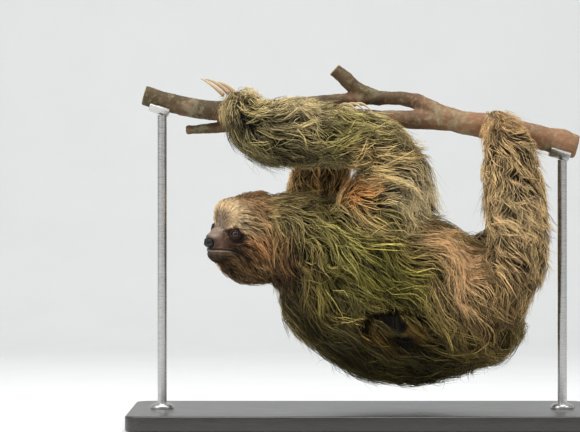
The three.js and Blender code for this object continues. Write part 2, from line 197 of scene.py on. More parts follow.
COMBS = listed(
    Comb,
    ("neck", [
        ((0.49, 0.18, 0.88), (0.78, 0, -0.62)), ((0.8, 0.06, 0.71), (0.6, 0, -0.8)),
        ((0.6, 0.02, 0.44), (0.41, 0, -0.91)), ((0.43, 0.25, 0.1), (0.15, 0, -0.99)),
    ]),
    ("trunk", [
        ((0.11, 0.2, 0.45), (0.29, 0, -0.96)), ((0.06, 0.36, 0.35), (0.33, 0, -0.94)),
        ((0.19, 0.32, 0.97), (0.99, 0, -0.12)), ((0.22, 0.18, 0.87), (0.89, 0, -0.45)),
        ((0.21, 0.1, 0.75), (0.56, 0, -0.83)), ((0.3, 0.07, 0.73), (0.71, 0, -0.71)),
        ((0.4, 0.01, 0.64), (0.75, 0, -0.66)), ((0.51, 0.01, 0.63), (0.69, 0, -0.73)),
        ((0.64, 0.08, 0.7), (0.5, 0, -0.87)), ((0.26, 0.06, 0.54), (0.54, 0, -0.84)),
        ((0.4, 0.03, 0.49), (0.75, 0, -0.66)), ((0.53, 0.02, 0.45), (0.71, 0, -0.71)),
        ((0.18, 0.23, 0.32), (0.45, 0, -0.89)), ((0.3, 0.16, 0.3), (0.51, 0, -0.86)),
        ((0.27, 0.37, 0.16), (0.79, 0, -0.61)), ((0.44, 0.14, 0.24), (0.71, 0, -0.71)),
        ((0.5, 0.34, 0.07), (0.97, 0, -0.24)), ((0.65, 0.37, 0.06), (1.0, 0, -0.1)),
        ((0.65, 0.12, 0.24), (0.75, 0, -0.66)), ((0.68, 0.05, 0.53), (0.45, 0, -0.89)),
        ((0.73, 0.18, 0.71), (0.75, 0, -0.66)), ((0.82, 0.4, 0.7), (0.75, 0, -0.66)),
        ((0.75, 0.1, 0.38), (0.29, 0, -0.96)), ((0.88, 0.22, 0.27), (0.1, 0, -1.0)),
        ((0.77, 0.29, 0.13), (0.65, 0, -0.76)), ((0.94, 0.27, 0.3), (0.05, 0, -1.0)),
        ((0.3, 0.9, 0.7), (0.3, 0.3, -0.9)), ((0.7, 0.9, 0.6), (0.3, 0.3, -0.9)),
    ]),
    ("tail", [((0.6, 0.5, 0.5), (0.7, 0.3, -0.6))]),
    ("upper_arm_right", [
        ((0.11, 0.42, 0.57), (-0.35, 0, 0.94)), ((0.11, 0.36, 0.48), (1.0, 0, -0.05)),
        ((0.15, 0.17, 0.35), (0.83, 0, -0.55)), ((0.15, 0.16, 0.15), (0.55, 0, -0.83)),
        ((0.39, 0.08, 0.63), (0.98, 0, -0.2)), ((0.43, 0.03, 0.37), (0.83, 0, -0.55)),
        ((0.64, 0.02, 0.55), (0.83, 0, -0.55)), ((0.84, 0.12, 0.55), (0.63, 0, -0.78)),
        ((0.77, 0.09, 0.24), (0.61, 0, -0.79)), ((0.96, 0.28, 0.3), (0.45, 0, -0.89)),
        ((0.48, 0.06, 0.09), (0.71, 0, -0.71)),
    ]),
    ("hand_right", [
        ((0.34, 0.49, 0.9), (0.71, 0, -0.71)), ((0.13, 0.41, 0.62), (0.33, 0, -0.94)),
        ((0.26, 0.18, 0.25), (0.49, 0, -0.87)),
    ]),
    ("forearm_right", [
        ((0.14, 0.24, 0.82), (0.89, 0, -0.45)), ((0.2, 0.09, 0.41), (0.83, 0, -0.55)),
        ((0.08, 0.4, 0.21), (0.66, 0, -0.75)), ((0.37, 0.14, 0.84), (1.0, 0, 0.1)),
        ((0.37, 0.02, 0.41), (0.97, 0, -0.24)), ((0.34, 0.24, 0.12), (0.83, 0, -0.55)),
        ((0.6, 0.06, 0.7), (0.99, 0, -0.15)), ((0.6, 0.04, 0.3), (0.96, 0, -0.29)),
        ((0.83, 0.04, 0.52), (0.91, 0, -0.41)), ((0.76, 0.06, 0.21), (1.0, 0, 0)),
        ((0.94, 0.65, 0.46), (0.73, 0, -0.68)), ((0.63, 0.23, 0.08), (0.87, 0, -0.49)),
    ]),
    ("foot_right", [
        ((0.34, 0.38, 0.82), (0.29, 0, -0.96)), ((0.68, 0.18, 0.58), (0.75, 0, -0.66)),
        ((0.11, 0.46, 0.66), (-0.1, 0, -1.0)),
    ]),
    ("shin_right", [
        ((0.17, 0.28, 0.87), (0.05, 0, -1.0)), ((0.62, 0.24, 0.87), (0.45, 0, -0.89)),
        ((0.07, 0.31, 0.67), (-0.2, 0, -0.98)), ((0.72, 0.17, 0.67), (0.49, 0, -0.87)),
        ((0.12, 0.22, 0.49), (0.24, 0, -0.97)), ((0.84, 0.17, 0.49), (0.29, 0, -0.96)),
        ((0.46, 0.06, 0.57), (0.36, 0, -0.93)), ((0.31, 0.08, 0.31), (0.37, 0, -0.93)),
        ((0.89, 0.15, 0.24), (0.1, 0, -1.0)), ((0.53, 0.01, 0.24), (0.33, 0, -0.94)),
        ((0.81, 0.17, 0.05), (0.2, 0, -0.98)),
    ]),
    ("thigh_right", [
        ((0.07, 0.32, 0.86), (0.55, 0, -0.83)), ((0.16, 0.25, 0.86), (0.45, 0, -0.89)),
    ]),
    ("shin_right", [((0.13, 0.3, 0.24), (0.2, 0, -0.98))]),
    ("thigh_right", [
        ((0.1, 0.14, 0.69), (0.5, 0, -0.87)), ((0.28, 0.03, 0.49), (0.49, 0, -0.87)),
        ((0.61, 0.08, 0.35), (0.29, 0, -0.96)), ((0.42, 0.16, 0.15), (0.2, 0, -0.98)),
    ]),
    ("upper_arm_left", [((0.5, 0.5, 0.5), (0.15, -0.2, -1.0))]),
    ("forearm_left", [((0.5, 0.5, 0.5), (-0.05, 0.1, -1.0))]),
    ("hand_left", [((0.5, 0.5, 0.5), (-0.1, 0.2, -1.0))]),
    ("thigh_left", [((0.5, 0.5, 0.5), (0.1, 0.1, -1.0))]),
    ("shin_left", [((0.5, 0.5, 0.5), (0.15, 0.1, -1.0))]),
    ("foot_left", [((0.5, 0.5, 0.5), (0.1, 0.2, -1.0))]),
)

ALGAE = (0.105, 0.092, 0.015)
FRESH_ALGAE = (0.235, 0.2, 0.055)
PALE_FLANK = (0.95, 0.61, 0.305)
DEEP_SHADE = (0.026, 0.023, 0.007)
GOLD = (0.15, 0.08, 0.010)
STRIPE = (0.004, 0.0025, 0.001)

# A marking covers those before it, so the rows of one node stand in more than one run.
MARKINGS = listed(
    Marking,
    ("neck", [
        ((0.7, 0.16, 0.8), 44, (0.42, 0.33, 0.13), 0.9),
        # painted shade low on the neck, under the head
        ((0.49, 0.17, 0.13), 46, (0.040, 0.021, 0.009), 0.95),
    ]),
    ("trunk", [((0.08, 0.22, 0.48), 30, (0.105, 0.07, 0.028), 0.8)]),
    ("neck", [((0.46, 0.03, 0.38), 24, (0.36, 0.18, 0.07), 0.85)]),
    ("trunk", [
        ((0.28, 0.09, 0.7), 42, (0.19, 0.165, 0.045), 0.85),
        ((0.4, 0.02, 0.6), 52, ALGAE, 0.95),
        ((0.5, 0.01, 0.5), 42, ALGAE, 0.9),
        ((0.21, 0.1, 0.52), 38, ALGAE, 0.8),
        ((0.24, 0.14, 0.8), 40, FRESH_ALGAE),
        ((0.3, 0.1, 0.47), 24, (0.21, 0.18, 0.05), 0.8),
        ((0.72, 0.05, 0.52), 46, (0.37, 0.245, 0.11), 0.9),
        ((0.65, 0.13, 0.77), 32, PALE_FLANK),
        ((0.72, 0.17, 0.72), 42, PALE_FLANK),
        ((0.79, 0.3, 0.72), 26, PALE_FLANK, 0.8),
        ((0.74, 0.11, 0.6), 26, PALE_FLANK, 0.7),
        ((0.75, 0.09, 0.47), 26, (0.5, 0.31, 0.15), 0.8),
        ((0.86, 0.2, 0.3), 44, (0.17, 0.113, 0.045), 0.9),
        ((0.08, 0.32, 0.33), 54, DEEP_SHADE, 0.97),
        ((0.28, 0.29, 0.16), 64, DEEP_SHADE, 0.97),
        ((0.47, 0.22, 0.18), 34, DEEP_SHADE, 0.9),
        ((0.57, 0.32, 0.06), 62, DEEP_SHADE, 0.97),
        ((0.42, 0.19, 0.28), 17, GOLD),
        ((0.53, 0.14, 0.31), 13, GOLD),
        ((0.57, 0.17, 0.27), 16, GOLD),
        ((0.6, 0.19, 0.22), 13, (0.11, 0.085, 0.016)),
        ((0.45, 0.12, 0.37), 17, STRIPE),
        ((0.485, 0.15, 0.31), 16, STRIPE),
        ((0.51, 0.19, 0.23), 17, STRIPE),
    ]),
    ("upper_arm_right", [
        ((0.15, 0.27, 0.47), 31, (1.0, 0.45, 0.14), 0.97),
        ((0.48, 0.01, 0.2), 34, (0.22, 0.18, 0.05), 0.8),
        ((0.88, 0.15, 0.42), 40, (0.8, 0.65, 0.38), 0.8),
    ]),
    ("forearm_right", [
        ((0.65, 0.0, 0.5), 40, (0.185, 0.16, 0.045), 0.9),
        # painted light along the forearm's top
        ((0.37, 0.14, 0.9), 44, (0.48, 0.38, 0.2), 0.85),
        # painted shade under the forearm, in this row and the next
        ((0.25, 0.25, 0.08), 50, (0.034, 0.028, 0.010), 0.95),
        ((0.55, 0.2, 0.05), 34, (0.062, 0.048, 0.017), 0.88),
        ((0.74, 0.06, 0.19), 24, (0.3, 0.19, 0.08), 0.8),
    ]),
    # painted shade under the hand and the wrist end of the forearm
    ("hand_right", [((0.26, 0.25, 0.18), 32, (0.040, 0.030, 0.010), 0.93)]),
    ("forearm_right", [((0.04, 0.33, 0.42), 26, (0.042, 0.032, 0.011), 0.92)]),
    ("thigh_right", [
        ((0.42, 0.16, 0.15), 32, (0.15, 0.1, 0.04), 0.8),
        ((0.13, 0.27, 0.86), 20, (0.34, 0.18, 0.08), 0.8),
    ]),
    ("shin_right", [
        ((0.48, 0.03, 0.47), 42, (0.76, 0.55, 0.28), 0.85),
        ((0.46, 0.04, 0.12), 34, (0.32, 0.215, 0.1), 0.85),
        ((0.9, 0.2, 0.1), 34, (0.24, 0.17, 0.075), 0.8),
    ]),
)

TRIMS = listed(
    Trim,
    ("trunk", [
        ((0.42, 0.12, 0.3), 25, 0.15, 0.28), ((0.57, 0.1, 0.27), 25, 0.15, 0.28),
        ((0.49, 0.09, 0.31), 25, 0.15, 0.28), ((0.52, 0.14, 0.22), 22, 0.2, 0.4),
    ]),
    ("thigh_right", [((0.07, 0.32, 0.86), 24, 0.6, 0.6, False)]),
    ("trunk", [((0.74, 0.16, 0.68), 34, 1.1, 0.8, False)]),
    ("forearm_right", [((0.64, 0.4, 0.92), 20, 0.5, 0.3)]),
    ("trunk", [((0.2, 0.36, 0.2), 40, 1.0, 1.25, False)]),
    ("hand_right", [((0.15, 0.3, 0.3), 24, 1.1, 1.4, False)]),
    ("forearm_right", [((0.05, 0.35, 0.3), 24, 1.1, 1.35, False)]),
    ("upper_arm_right", [((0.97, 0.25, 0.25), 34, 0.9, 0.75, False)]),
    ("hand_right", [((0.25, 0.5, 0.95), 26, 1.0, 1.45, False)]),
    ("foot_right", [((0.35, 0.5, 0.95), 28, 1.0, 1.3, False)]),
)

FRAYS = listed(
    Fray,
    ("upper_arm_right", [
        ((0.97, 0.3, 0.4), 46, 1.3), ((0.8, 0.25, 0.95), 38, 1.3),
    ]),
    ("forearm_right", [
        ((0.92, 0.45, 0.65), 34, 1.0), ((0.2, 0.3, 0.1), 46, 0.7),
    ]),
    ("hand_right", [((0.3, 0.4, 0.95), 26, 0.8)]),
    ("foot_right", [((0.4, 0.4, 0.95), 26, 0.6)]),
    ("trunk", [
        ((0.96, 0.3, 0.2), 36, 0.9), ((0.3, 0.34, 0.1), 46, 0.5),
    ]),
    ("neck", [((0.6, 0.5, 0.98), 30, 0.9)]),
    ("trunk", [((0.1, 0.3, 0.98), 34, 0.9)]),
    ("shin_right", [
        ((0.95, 0.35, 0.45), 46, 0.9), ((0.08, 0.35, 0.5), 36, 0.7),
    ]),
    ("forearm_right", [((0.67, 0.32, 0.04), 24, 1.2)]),
)


def unit(vectors: Array) -> Array:
    """Returns the vectors scaled to a length of one."""
    return vectors / np.maximum(np.linalg.norm(vectors, axis=-1, keepdims=True), TINY)


def smooth_step(low: float, high: float, values: Array) -> Array:
    """Returns 0 below low, 1 above high and a smooth rise between."""
    share = np.clip((values - low) / (high - low), 0, 1)
    return share * share * (3 - 2 * share)


def bell(values: Array, width: float) -> Array:
    """Returns 1 where the values are 0, falling off on both sides of it over the width."""
    return np.exp(-((values / width) ** 2))


def blended(first: Any, second: Any, share: Any) -> Array:
    """Returns first where the share is 0, second where it is 1, and a mixture between."""
    return first * (1 - share) + second * share


def distance(points: Array, spot: Sequence[float]) -> Array:
    """Returns how far each point lies from the spot."""
    return np.linalg.norm(points - np.array(spot), axis=1)


def ripple(points: Array, size: float, seed: int, waves: int = 7) -> Array:
    """Returns a smooth, seeded wander between about -1 and 1 over points in space.

    Args:
        points: places in metres, one a row.
        size: the width of one swell, in millimetres.
        seed: the choice of waves.
        waves: how many plane waves are summed.
    """
    chance = np.random.default_rng(SEED + seed)
    headings = unit(chance.normal(size=(waves, 3))) * chance.uniform(0.6, 1.5, (waves, 1))
    phases = chance.uniform(0, 2 * math.pi, waves)
    heights = np.sin(points @ headings.T * (math.pi / (size * MM)) + phases)
    return heights.sum(1) / math.sqrt(waves * 1.4)


def place_in(node: str, at: Sequence[float] = (0.5, 0.5, 0.5)) -> Vector:
    """Returns the point at the given fractions of a node's box, its middle if none are given."""
    low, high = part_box(node)
    return Vector(low[axis] + (high[axis] - low[axis]) * at[axis] for axis in range(3))


def new_object(name: str, data: bpy.types.ID) -> Piece:
    """Links a new object that carries the mesh, lamp or camera and returns it."""
    piece = bpy.data.objects.new(name, data)
    bpy.context.scene.collection.objects.link(piece)
    return piece


def object_from(name: str, shape: Shape, sharp: float = 180) -> Piece:
    """Turns a bmesh into an object, smooth but for edges sharper than an angle in degrees."""
    bmesh.ops.recalc_face_normals(shape, faces=shape.faces)
    mesh = bpy.data.meshes.new(name)
    shape.to_mesh(mesh)
    shape.free()
    mesh.shade_smooth()
    if sharp < 180:
        mesh.set_sharp_from_angle(angle=math.radians(sharp))
    return new_object(name, mesh)


def places_of(verts: Any) -> Array:
    """Returns the places of a mesh's or bmesh's vertices, one a row."""
    return np.array([vertex.co[:] for vertex in verts])


def soften(shape: Shape, verts: Any, rounds: int) -> None:
    """Draws the vertices halfway to their neighbours, some rounds over."""
    for _ in range(rounds):
        bmesh.ops.smooth_vert(shape, verts=verts, factor=0.5, use_axis_x=True, use_axis_y=True,
                              use_axis_z=True)


def round_off(shape: Shape, edges: Any, offset: float, segments: int) -> None:
    """Rounds the edges off by an offset in millimetres."""
    bmesh.ops.bevel(shape, geom=edges, offset=offset * MM, segments=segments, profile=0.5,
                    affect="EDGES", material=-1)


def weld(shape: Shape, apart: float = 0.01) -> None:
    """Makes one of the vertices that lie within some millimetres of each other."""
    bmesh.ops.remove_doubles(shape, verts=shape.verts, dist=apart * MM)


def merged(frame: dict[str, Any], nodes: Sequence[str]) -> Shape:
    """Returns a bmesh of the nodes' own solids, each a closed shell."""
    shape = bmesh.new()
    for node in nodes:
        shape.from_mesh(frame["nodes"][node].data)
    weld(shape)
    shape.normal_update()
    return shape


def remeshed(name: str, shape: Shape, voxel: float) -> bpy.types.Mesh:
    """Returns the shape's union as an even net of quads, and frees the shape."""
    rough = object_from(name + "_rough", shape)
    weave = rough.modifiers.new("Voxels", "REMESH")
    weave.mode = "VOXEL"
    weave.voxel_size = voxel * MM
    done = rough.evaluated_get(bpy.context.evaluated_depsgraph_get())
    mesh = bpy.data.meshes.new_from_object(done)
    bpy.data.objects.remove(rough)
    return mesh


class Net:
    """The points, edges and triangles of a mesh as arrays, with smoothing over them."""

    def __init__(self, mesh: bpy.types.Mesh) -> None:
        """Reads the mesh."""
        mesh.calc_loop_triangles()
        self.points = self._read(mesh.vertices, "co", 3, float)
        self.edges = self._read(mesh.edges, "vertices", 2, np.int64)
        self.faces = self._read(mesh.loop_triangles, "vertices", 3, np.int64)
        ends = np.concatenate([self.edges[:, 0], self.edges[:, 1]])
        self.valence = np.maximum(np.bincount(ends, minlength=len(self.points)), 1)

    @staticmethod
    def _read(rows: Any, key: str, width: int, kind: type) -> Array:
        """Returns one property of the mesh's rows as an array."""
        values = np.empty(len(rows) * width, kind)
        rows.foreach_get(key, values)
        return values.reshape(-1, width)

    def smoothed(self, values: Array, rounds: int, share: float = 0.5) -> Array:
        """Returns values at the points, each drawn towards the mean of its neighbours."""
        flat = values.reshape(len(self.points), -1).astype(float)
        first, last = self.edges[:, 0], self.edges[:, 1]
        for _ in range(rounds):
            total = np.empty_like(flat)
            for lane in range(flat.shape[1]):
                column = flat[:, lane]
                total[:, lane] = np.bincount(first, column[last], len(column))
                total[:, lane] += np.bincount(last, column[first], len(column))
            flat = blended(flat, total / self.valence[:, None], share)
        return flat.reshape(values.shape)

    def facing(self) -> Array:
        """Returns each triangle's outward direction, twice as long as its area."""
        corners = self.points[self.faces]
        return np.cross(corners[:, 1] - corners[:, 0], corners[:, 2] - corners[:, 0])

    def normals(self) -> Array:
        """Returns the outward direction at each point."""
        facing = self.facing()
        total = np.zeros_like(self.points)
        for corner in range(3):
            for lane in range(3):
                total[:, lane] += np.bincount(self.faces[:, corner], facing[:, lane], len(total))
        return unit(total)

    def areas(self) -> Array:
        """Returns the area of each triangle."""
        return 0.5 * np.linalg.norm(self.facing(), axis=1)

    def store(self, mesh: bpy.types.Mesh) -> None:
        """Writes the points back to the mesh they came from."""
        mesh.vertices.foreach_set("co", self.points.astype(np.float32).ravel())
        mesh.update()


def tree_of(points: Array) -> KDTree:
    """Returns a search tree over the points."""
    tree = KDTree(len(points))
    for index, point in enumerate(points):
        tree.insert(point, index)
    tree.balance()
    return tree


def nearest(tree: KDTree, points: Array) -> Array:
    """Returns the index of the tree's point nearest to each point."""
    find = tree.find
    return np.fromiter((find(point)[1] for point in points), np.int64, len(points))


def store_colour(mesh: bpy.types.Mesh, name: str, colours: Array) -> None:
    """Keeps a colour at each point of the mesh as a named attribute."""
    layer = mesh.color_attributes.new(name, "FLOAT_COLOR", "POINT")
    full = np.ones((len(colours), 4), np.float32)
    full[:, : colours.shape[1]] = colours
    layer.data.foreach_set("color", full.ravel())


def store_value(mesh: bpy.types.Mesh, name: str, values: Array) -> None:
    """Keeps a number at each point of the mesh as a named attribute."""
    layer = mesh.attributes.new(name, "FLOAT", "POINT")
    layer.data.foreach_set("value", values.astype(np.float32))


# ---------- finishes ----------


class Signal:
    """A node's output, with arithmetic that adds the Math or Vector Math nodes it needs."""

    def __init__(self, paint: "Paint", socket: bpy.types.NodeSocket) -> None:
        """Wraps the socket of a paint's node."""
        self.paint = paint
        self.socket = socket

    def _maths(self, operation: str, *values: Any) -> "Signal":
        """Adds a Math node, or a Vector Math node where the signal is a colour or vector."""
        if self.socket.type == "VALUE":
            return self.paint.node("Math", {"operation": operation}, values)
        return self.paint.node("VectorMath", {"operation": operation}, values)

    def __add__(self, other: Any) -> "Signal":
        """Adds a signal or number."""
        return self._maths("ADD", self, other)

    def __sub__(self, other: Any) -> "Signal":
        """Takes a signal or number away."""
        return self._maths("SUBTRACT", self, other)

    def __rsub__(self, other: Any) -> "Signal":
        """Takes this signal from a number."""
        return self._maths("SUBTRACT", other, self)

    def __mul__(self, other: Any) -> "Signal":
        """Multiplies by a signal or number."""
        return self._maths("MULTIPLY", self, other)

    __radd__ = __add__
    __rmul__ = __mul__


class Paint:
    """A material under construction."""

    def __init__(self, name: str, **fixed: Any) -> None:
        """Starts a Principled material.

        Args:
            name: the material's name.
            fixed: the shader's constant sockets, with underscores for spaces.
        """
        self.material = bpy.data.materials.new(name)
        self.material.use_nodes = True
        self.tree = self.material.node_tree
        self.shader = self.tree.nodes["Principled BSDF"]
        for key, value in fixed.items():
            self.shader.inputs[key.replace("_", " ")].default_value = value

    def node(self, kind: str, settings: dict[str, Any], inputs: Any = (), output: int = 0) -> Signal:
        """Adds a node.

        Args:
            kind: the node's type without its ShaderNode prefix.
            settings: attributes set first; "stops" fills a colour ramp.
            inputs: sockets' values or signals, as a sequence or by name.
            output: which output is returned.

        Returns:
            The chosen output.
        """
        made = self.tree.nodes.new("ShaderNode" + kind)
        for key, value in settings.items():
            if key == "stops":
                self._fill_ramp(made.color_ramp, value)
            else:
                setattr(made, key, value)
        pairs = inputs.items() if isinstance(inputs, dict) else enumerate(inputs)
        for key, value in pairs:
            self.feed(made.inputs[key], value)
        return Signal(self, made.outputs[output])

    @staticmethod
    def _fill_ramp(ramp: bpy.types.ColorRamp, stops: Sequence[tuple[float, Sequence[float]]]) -> None:
        """Sets a colour ramp's stops."""
        while len(ramp.elements) < len(stops):
            ramp.elements.new(0.5)
        for element, (position, colour) in zip(ramp.elements, stops):
            element.position = position
            element.color = (*colour, 1)

    def feed(self, socket: bpy.types.NodeSocket, value: Any) -> None:
        """Links a signal to a socket, or sets the socket's value."""
        if isinstance(value, Signal):
            self.tree.links.new(value.socket, socket)
        elif socket.type == "RGBA" and len(value) == 3:
            socket.default_value = (*value, 1)
        elif socket.type == "VECTOR" and not isinstance(value, (tuple, list, Vector)):
            socket.default_value = (value, value, value)
        else:
            socket.default_value = value

    def places(self) -> Signal:
        """Returns the object coordinates."""
        return self.node("TexCoord", {}, (), 3)

    def stored(self, name: str, value: bool = False) -> Signal:
        """Returns a named attribute, as a colour or as a number."""
        return self.node("Attribute", {"attribute_name": name}, (), 2 if value else 0)

    def noise(self, size: float, detail: float = 3, rough: float = 0.55,
              at: Signal | None = None) -> Signal:
        """Returns noise with swells of the given size in millimetres."""
        values = {"Vector": at or self.places(), "Scale": 1 / (size * MM), "Detail": detail,
                  "Roughness": rough}
        return self.node("TexNoise", {}, values)

    def ramp(self, value: Signal, *stops: tuple[float, Sequence[float]]) -> Signal:
        """Returns the colour that the value reaches between stops."""
        return self.node("ValToRGB", {"stops": stops}, (value,))

    def level(self, value: Signal, low: float, high: float, start: float = 0, end: float = 1) -> Signal:
        """Returns the value stretched from low..high to start..end, smoothly and held there."""
        settings = {"interpolation_type": "SMOOTHSTEP"}
        return self.node("MapRange", settings, (value, low, high, start, end))

    def mix(self, share: Any, first: Any, second: Any, blend: str = "MIX") -> Signal:
        """Returns a blend of two colours."""
        settings = {"data_type": "RGBA", "blend_type": blend}
        return self.node("Mix", settings, {0: share, 6: first, 7: second}, 2)

    def cells(self, size: float, **settings: Any) -> Signal:
        """Returns a pattern of cells of the given size in millimetres."""
        return self.node("TexVoronoi", settings, {"Vector": self.places(), "Scale": 1 / (size * MM)})

    def stretched(self, *scale: float) -> Signal:
        """Returns the object coordinates scaled along each axis."""
        return self.node("Mapping", {}, {"Vector": self.places(), "Scale": scale})

    def finish(self, colour: Any = None, rough: Any = None, height: Any = None,
               depth: float = 0.1, **others: Any) -> bpy.types.Material:
        """Links what varies and returns the material.

        Args:
            colour: the base colour.
            rough: the roughness.
            height: the relief, which a Bump node turns to normals.
            depth: the relief's depth in millimetres.
            others: other varying sockets, with underscores for spaces.
        """
        for key, value in (("Base Color", colour), ("Roughness", rough)):
            if value is not None:
                self.feed(self.shader.inputs[key], value)
        if height is not None:
            bump = {"Strength": 1.0, "Distance": depth * MM, "Height": height}
            self.feed(self.shader.inputs["Normal"], self.node("Bump", {}, bump))
        for key, value in others.items():
            self.feed(self.shader.inputs[key.replace("_", " ")], value)
        return self.material


@dataclass(frozen=True)
class Finishes:
    """The materials; sizes are in millimetres and colours linear."""

    wander: float = 5.0
    pore: float = 0.55
    nap: float = 1.3
    pebble: float = 0.75
    pupil: Triple = (0.003, 0.002, 0.002)
    iris: Triple = (0.02, 0.009, 0.005)
    iris_rim: Triple = (0.045, 0.021, 0.012)
    white: Triple = (0.02, 0.011, 0.008)
    tip: Triple = (0.62, 0.47, 0.28)
    root: Triple = (0.4, 0.25, 0.12)
    red: Triple = (0.36, 0.185, 0.095)
    brown: Triple = (0.12, 0.068, 0.034)
    olive: Triple = (0.13, 0.1, 0.045)
    pale: Triple = (0.54, 0.37, 0.21)
    lichen: Triple = (0.42, 0.38, 0.22)
    tone: Triple = (0.022, 0.02, 0.018)

    def fur(self) -> bpy.types.Material:
        """Returns hair: its own colour with a fine wander, matt with a little shine."""
        paint = Paint("fur", Specular_IOR_Level=0.26)
        grain = paint.noise(self.wander, 2)
        tone = paint.level(grain, 0.3, 0.7, 0.82, 1.18)
        colour = paint.mix(1.0, paint.stored("coat"), tone, "MULTIPLY")
        return paint.finish(colour, paint.level(grain, 0.3, 0.7, 0.42, 0.6))

    def skin(self) -> bpy.types.Material:
        """Returns skin: bare and leathery on the muzzle, covered with flat short hair elsewhere."""
        paint = Paint("skin", Specular_IOR_Level=0.35)
        bare = paint.stored("bare", True)
        pores = paint.cells(self.pore, feature="DISTANCE_TO_EDGE")
        nap = paint.noise(self.nap, 4, 0.7)
        blotch = paint.level(paint.noise(6, 3), 0.35, 0.65, 0.84, 1.16)
        speck = paint.level(nap, 0.3, 0.7, 0.78, 1.2)
        colour = paint.mix(1.0, paint.stored("coat"), blotch, "MULTIPLY")
        colour = paint.mix(1.0, colour, speck, "MULTIPLY")
        rough = paint.level(nap, 0.3, 0.7, 0.5, 0.75) - bare * 0.1
        height = paint.level(pores, 0.0, 0.25) * bare * 0.4 + nap * (1.2 - bare)
        return paint.finish(colour, rough, height, 0.35)

    def nose(self) -> bpy.types.Material:
        """Returns the wet black nose pad, finely pebbled."""
        paint = Paint("nose_pad", Specular_IOR_Level=0.25, Coat_Roughness=0.2)
        pebbles = paint.cells(self.pebble)
        tone = paint.level(paint.noise(3, 3), 0.35, 0.65)
        colour = paint.mix(tone, (0.009, 0.007, 0.006), (0.028, 0.021, 0.018))
        colour = paint.mix(paint.stored("nostril", True), colour, (0.002, 0.0015, 0.001))
        rough = paint.level(pebbles, 0.0, 0.8, 0.3, 0.5)
        gloss = paint.level(tone, 0, 1, 0.15, 0.35)
        return paint.finish(colour, rough, 1 - pebbles, 0.09, Coat_Weight=gloss)

    def eye(self) -> bpy.types.Material:
        """Returns a dark eye: near-black pupil, brown iris with fine rays, dim white behind the lids.

        The stored gaze runs from 0 in front to 1 behind.
        """
        paint = Paint("eye", Roughness=0.05, IOR=1.36, Coat_Roughness=0.02)
        gaze = paint.stored("gaze", True)
        rays = paint.noise(0.5, 3, 0.7)
        wander = gaze + (rays - 0.5) * 0.02
        colour = paint.ramp(wander, (0.0, self.pupil), (0.085, self.pupil), (0.1, self.iris),
                            (0.2, self.iris_rim), (0.235, self.iris), (0.26, self.white))
        colour = paint.mix(paint.level(rays, 0.3, 0.7, 0.0, 0.35), colour, (0.008, 0.004, 0.003))
        return paint.finish(colour, Coat_Weight=paint.level(gaze, 0.3, 0.6, 0.35, 0.2))

    def horn(self) -> bpy.types.Material:
        """Returns claw horn: dark tan at the root, paler to the tip, with fine streaks."""
        paint = Paint("horn", Specular_IOR_Level=0.5)
        streaks = paint.noise(1.6, 4, 0.6)
        along = paint.stored("along", True)
        colour = paint.mix(paint.level(along, 0.05, 0.8), self.root, self.tip)
        colour = paint.mix(paint.level(streaks, 0.4, 0.75, 0, 0.5), colour, (0.12, 0.07, 0.035))
        rough = paint.level(streaks, 0.3, 0.7, 0.28, 0.48)
        return paint.finish(colour, rough, streaks, 0.12)

    def bark(self) -> bpy.types.Material:
        """Returns thin smooth bark with reddish-brown, grey and lichened blotches; pale sawn ends."""
        paint = Paint("bark", Specular_IOR_Level=0.3)
        sawn = paint.stored("sawn", True)
        rings = paint.stored("rings", True)
        side = paint.stored("red_side", True)
        broad, fine, dust = paint.noise(26, 3), paint.noise(5, 5, 0.65), paint.noise(1.1, 4, 0.7)
        bark = paint.mix(paint.level(broad, 0.38, 0.62), self.brown, self.red)
        damp = paint.level(paint.noise(34, 2), 0.42, 0.6, 0, 0.75)
        bark = paint.mix(damp * (1 - side), bark, self.olive)
        bark = paint.mix(side * 0.75, bark, self.red)
        bark = paint.mix(paint.level(fine, 0.5, 0.7, 0, 0.55), bark, self.pale)
        bark = paint.mix(paint.level(dust, 0.55, 0.75, 0, 0.45), bark, self.brown)
        crust = paint.level(paint.noise(21, 4, 0.6) + (fine - 0.5) * 0.35, 0.5, 0.66)
        speckle = paint.level(dust, 0.35, 0.6, 0.55, 1)
        bark = paint.mix(crust * speckle * 0.7, bark, self.lichen)
        ring = paint.node("Math", {"operation": "SINE"}, (rings * 26.0 + (fine - 0.5) * 5.0,))
        wood = paint.mix(paint.level(ring, -1, 1), (0.44, 0.3, 0.17), (0.62, 0.47, 0.3))
        wood = paint.mix(paint.level(rings, 0.86, 0.94), wood, (0.13, 0.08, 0.045))
        bark = paint.mix(1.0, bark, paint.level(side, 0, 1, 0.56, 0.76), "MULTIPLY")
        colour = paint.mix(sawn, bark, wood)
        rough = paint.level(fine, 0.3, 0.7, 0.62, 0.85)
        return paint.finish(colour, rough, fine * 1.5 + dust * 0.6 + crust * 0.5, 0.5)

    def lacquer(self) -> bpy.types.Material:
        """Returns the stand's base: near-black satin lacquer over a faint open grain."""
        paint = Paint("lacquer", Specular_IOR_Level=0.5, Coat_Roughness=0.2)
        grain = paint.noise(1.4, 5, 0.65, paint.stretched(0.06, 1, 1))
        paler = tuple(1.7 * part for part in self.tone)
        colour = paint.mix(paint.level(grain, 0.35, 0.65), self.tone, paler)
        rough = paint.level(grain, 0.3, 0.7, 0.32, 0.46)
        gloss = paint.level(grain, 0.3, 0.7, 0.35, 0.2)
        return paint.finish(colour, rough, grain, 0.05, Coat_Weight=gloss)

    def steel(self) -> bpy.types.Material:
        """Returns stainless steel of the rods, collars and cradles, brushed across their height."""
        paint = Paint("steel", Metallic=1.0)
        brush = paint.noise(7, 4, 0.6, paint.stretched(1, 1, 22))
        colour = paint.mix(paint.level(brush, 0.3, 0.7), (0.5, 0.5, 0.49), (0.66, 0.65, 0.63))
        return paint.finish(colour, paint.level(brush, 0.3, 0.7, 0.24, 0.42), brush, 0.02)


# ---------- the head's own axes ----------


